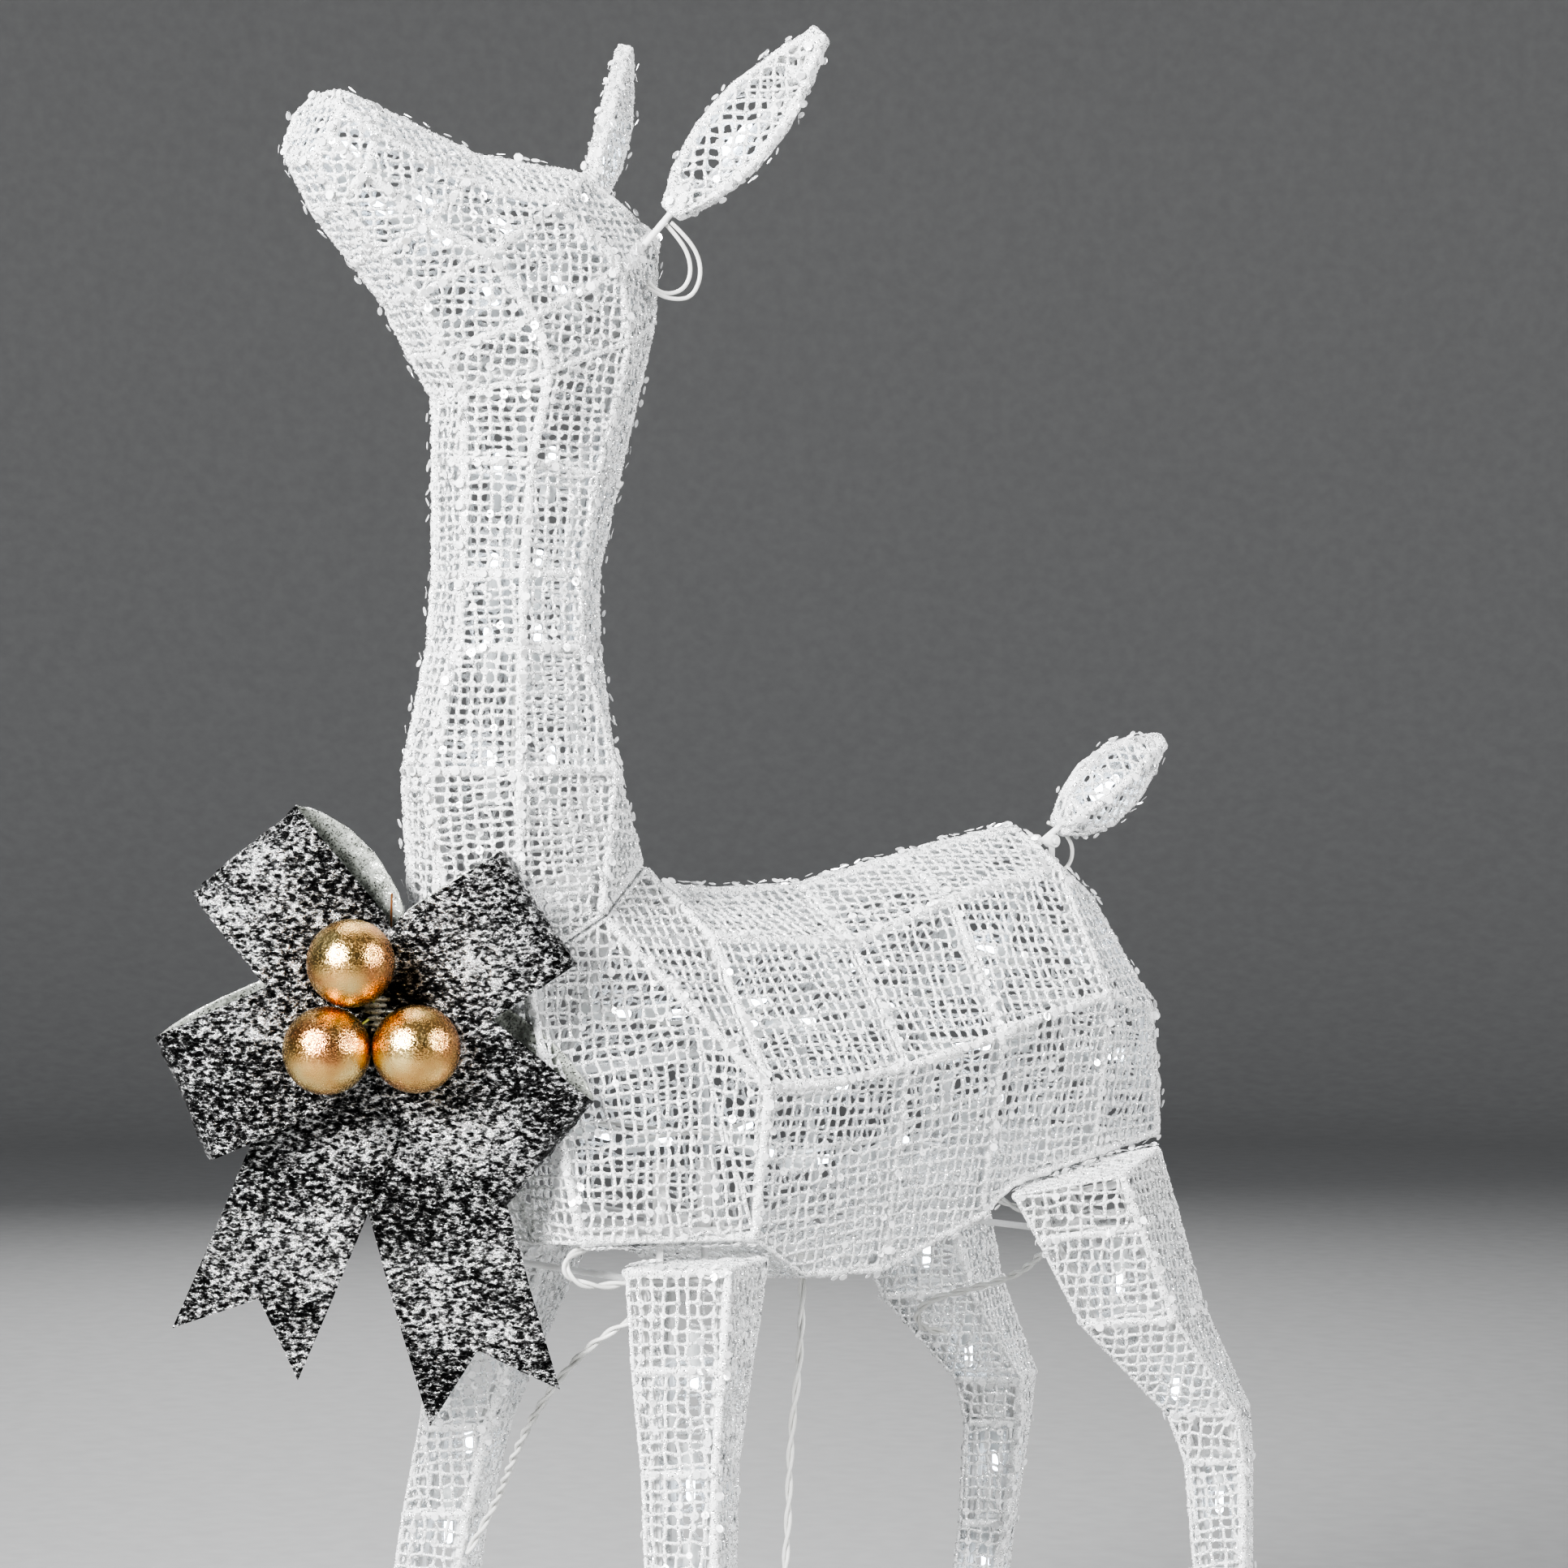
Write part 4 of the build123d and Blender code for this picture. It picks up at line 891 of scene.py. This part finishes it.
def ribbon_piece(name, grid, amount, seed):
    """A ribbon from a grid of points: foil outside, backing inside, crumpled all over."""
    rows, columns = grid.shape[:2]
    normal = np.cross(np.gradient(grid, axis=0), np.gradient(grid, axis=1))
    normal /= np.maximum(np.linalg.norm(normal, axis=2, keepdims=True), 1e-12)
    grid = grid + normal * crumple(grid, amount, seed)[..., None]
    front = (grid + normal * RIBBON_THICK / 2).reshape(-1, 3)
    back = (grid - normal * RIBBON_THICK / 2).reshape(-1, 3)
    number = np.arange(rows * columns).reshape(rows, columns)
    at = number[:-1, :-1].ravel()
    top = np.stack([at, at + columns, at + columns + 1, at + 1], 1)
    under = top[:, ::-1] + number.size
    rim = np.concatenate([number[0], number[1:, -1], number[-1, -2::-1], number[-2:0:-1, 0]])
    nxt = np.roll(rim, -1)
    wall = np.stack([rim, nxt, nxt + number.size, rim + number.size], 1)
    obj = new_object(name, np.concatenate([front, back]), np.concatenate([top, under, wall]), [FOIL, BACKING])
    index = np.zeros(len(obj.data.polygons), np.int32)
    index[len(top):2 * len(top)] = 1
    obj.data.polygons.foreach_set("material_index", index)
    return finish_piece(obj, "neck")


def width_share(run, spread):
    """Share of the ribbon's width at a distance from the knot, where it is gathered."""
    return 0.24 + 0.76 * math.sin(min(run / spread, 1) * math.pi / 2) ** 0.8


def pleat(run, t, depth):
    """Folds that gather the ribbon at the knot and die out along it."""
    return depth * max(1 - run / (70 * MM), 0) ** 1.5 * math.cos(3 * math.pi * t)


def loop_profile(run, straight):
    """How far from the knot and how far out a loop's strip is after a run of its length."""
    arc = math.pi * LOOP_BEND
    if run < straight:
        return run, LOOP_BEND * (0.25 + 0.75 * math.sin(run / straight * math.pi / 2))
    if run < straight + arc:
        turn = (run - straight) / LOOP_BEND
        return straight + LOOP_BEND * math.sin(turn), LOOP_BEND * math.cos(turn)
    far = 2 * straight + arc - run
    return far, -LOOP_BEND * (0.25 + 0.75 * math.sin(far / straight * math.pi / 2))


def bow_loop(name, degrees, reach, aslant, seed):
    """A strip that leaves the knot, folds over a round end and comes back behind itself."""
    ahead = math.cos(math.radians(degrees)), math.sin(math.radians(degrees))
    reach = reach * MM
    straight = reach - LOOP_BEND
    total = 2 * straight + math.pi * LOOP_BEND
    grid = np.zeros((LOOP_ROWS, COLUMNS, 3))
    for r in range(LOOP_ROWS):
        far, out = loop_profile(total * r / (LOOP_ROWS - 1), straight)
        half_width = width_share(far, 46 * MM) * RIBBON / 2
        behind = max(0.0, -out / LOOP_BEND) * math.sin(math.pi * min(far / reach, 1)) ** 0.7
        for c in range(COLUMNS):
            t = across_strip(c, COLUMNS)
            side = t * half_width + behind * aslant * MM
            wave = pleat(far, t, 5 * MM) + 2.4 * MM * math.sin(2.1 * t + seed) * far / reach
            belly = 10 * MM * (1 - 0.6 * t * t) * math.sin(math.pi * far / reach)
            grid[r, c] = in_bow(
                ahead[0] * far - ahead[1] * side,
                ahead[1] * far + ahead[0] * side,
                out + wave + math.copysign(belly, out) + 6 * MM * (1 - far / reach),
            )
    obj = ribbon_piece(name, grid, 2.6 * MM, seed)
    return obj


def bow_tail(name, degrees, reach, out, seed):
    """A hanging end of the ribbon, cut to a fishtail."""
    ahead = math.cos(math.radians(degrees)), math.sin(math.radians(degrees))
    reach = reach * MM
    grid = np.zeros((TAIL_ROWS, COLUMNS, 3))
    for c in range(COLUMNS):
        t = across_strip(c, COLUMNS)
        length = reach - NOTCH * (1 - abs(t))
        for r in range(TAIL_ROWS):
            far = length * r / (TAIL_ROWS - 1)
            side = t * width_share(far, 80 * MM) * RIBBON / 2
            roll = 3.2 * MM * math.sin(far / reach * 5.1 + seed)
            twist = 1.8 * MM * math.sin(2.6 * t + far * 40 + seed)
            grid[r, c] = in_bow(
                ahead[0] * far - ahead[1] * side,
                ahead[1] * far + ahead[0] * side,
                out * MM + roll + twist + pleat(far, t, 4 * MM),
            )
    obj = ribbon_piece(name, grid, 2.2 * MM, seed)
    return obj


def bow_knot_wrap():
    """A short gathered band round the middle of the bow."""
    rows, columns = 64, 30
    grid = np.zeros((rows, columns, 3))
    for r, c in np.ndindex(rows, columns):
        turn = 2 * math.pi * r / (rows - 1)
        t = across_strip(c, columns)
        radius = KNOT_RADIUS + 1.6 * MM * math.cos(5 * math.pi * t)
        grid[r, c] = in_bow(radius * math.cos(turn), 9 * MM * t, 4 * MM + radius * math.sin(turn))
    obj = ribbon_piece("knot_wrap", grid, 2.0 * MM, 5.0)
    return obj


def ball(name, x, y):
    """A smooth sphere."""
    rows, columns = 64, 96
    polar = np.linspace(0.0005, math.pi - 0.0005, rows)
    ring = [(math.sin(p) * math.cos(a), math.sin(p) * math.sin(a), math.cos(p))
            for p in polar for a in full_turn(columns)]
    verts = np.array(in_bow(x * MM, y * MM, BALL_OUT)) + BALL_RADIUS * np.array(ring)
    obj = new_object(name, verts, tube_faces(rows, columns)[:, ::-1], COPPER)
    return finish_piece(obj, "neck")


for k, (word, shape) in enumerate(LOOPS.items()):
    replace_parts(bow_loop(f"ribbon_{word}", *shape, 1.7 * k + 0.4), f"bow_loop_{word}")
TAIL_PIECES = [bow_tail(f"ribbon_tail_{k + 1}", *tail, 3.1 * k + 0.9) for k, tail in enumerate(TAILS)]
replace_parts(TAIL_PIECES[0], "bow_tails")
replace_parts(bow_knot_wrap(), "bow_knot")
BALL_PIECES = [ball(f"ball_{k + 1}", x, y) for k, (x, y) in enumerate(BALLS)]
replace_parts(BALL_PIECES[0], "bow_balls")


# ---- finishes of the CAD pieces ---------------------------------------------------
SLOT_LOOKS = {
    "white_wire": PAINT, "holder_plastic": HOLDER, "lamp_lens": LENS, "cord_jacket": VINYL,
    "copper_wire": BROWN_WIRE, "green_wire": GREEN_WIRE, "blade_metal": BLADE, "silver_ribbon": FOIL,
    "copper_glitter": COPPER, "glitter_net": NET,
}


def dress(node, material):
    """Gives a CAD node a better material."""
    slots = NODES[node].data.materials
    if len(slots) == 0:
        slots.append(material)
    for k in range(len(slots)):
        slots[k] = material


for part in frame["record"]["subparts"]:
    dress(part["node"], SLOT_LOOKS[part["material_slot"]])


# ---- floor and light ----------------------------------------------------------------
def make_floor():
    """A pale floor that curves up into a plain wall all round."""
    flat, bend, top, sides = 5.0, 2.0, 2.2, 96
    arc = np.linspace(0.1, math.pi / 2, 16)
    profile = [(0.001, 0), (flat, 0)]
    profile += [(flat + bend * math.sin(a), bend * (1 - math.cos(a))) for a in arc]
    profile.append((flat + bend, bend + top))
    verts = [(r * math.cos(a), r * math.sin(a), z) for r, z in profile for a in full_turn(sides)]
    obj = new_object("floor", verts, tube_faces(len(profile), sides)[:, ::-1], floor_material())
    obj.location.z = -0.5 * MM


def area_light(name, place, aim, size, power):
    data = bpy.data.lights.new(name, "AREA")
    data.shape, data.size, data.energy = "DISK", size, power
    light = bpy.data.objects.new(name, data)
    bpy.context.collection.objects.link(light)
    light.location = place
    light.rotation_euler = (Vector(aim) - Vector(place)).to_track_quat("-Z", "Y").to_euler()


def make_world():
    """Dim, slightly blue light from all round, and a look that keeps the net's white crisp."""
    world = bpy.data.worlds.new("world")
    bpy.context.scene.world = world
    world.use_nodes = True
    back = world.node_tree.nodes["Background"]
    back.inputs["Color"].default_value = (0.8, 0.83, 0.88, 1)
    back.inputs["Strength"].default_value = 0.22
    bpy.context.scene.view_settings.look = "AgX - High Contrast"


make_floor()
make_world()
area_light("left_softbox", (0.82, -2.7, 1.65), (0, -0.05, 0.6), 1.0, 195)
area_light("right_softbox", (2.65, 1.4, 1.6), (0, 0.05, 0.6), 0.9, 74)
area_light("far_softbox", (-2.7, 1.5, 2.0), (0, 0, 0.6), 1.1, 50)
area_light("top", (-0.6, 0.2, 3.0), (0, 0, 0.6), 1.4, 24)
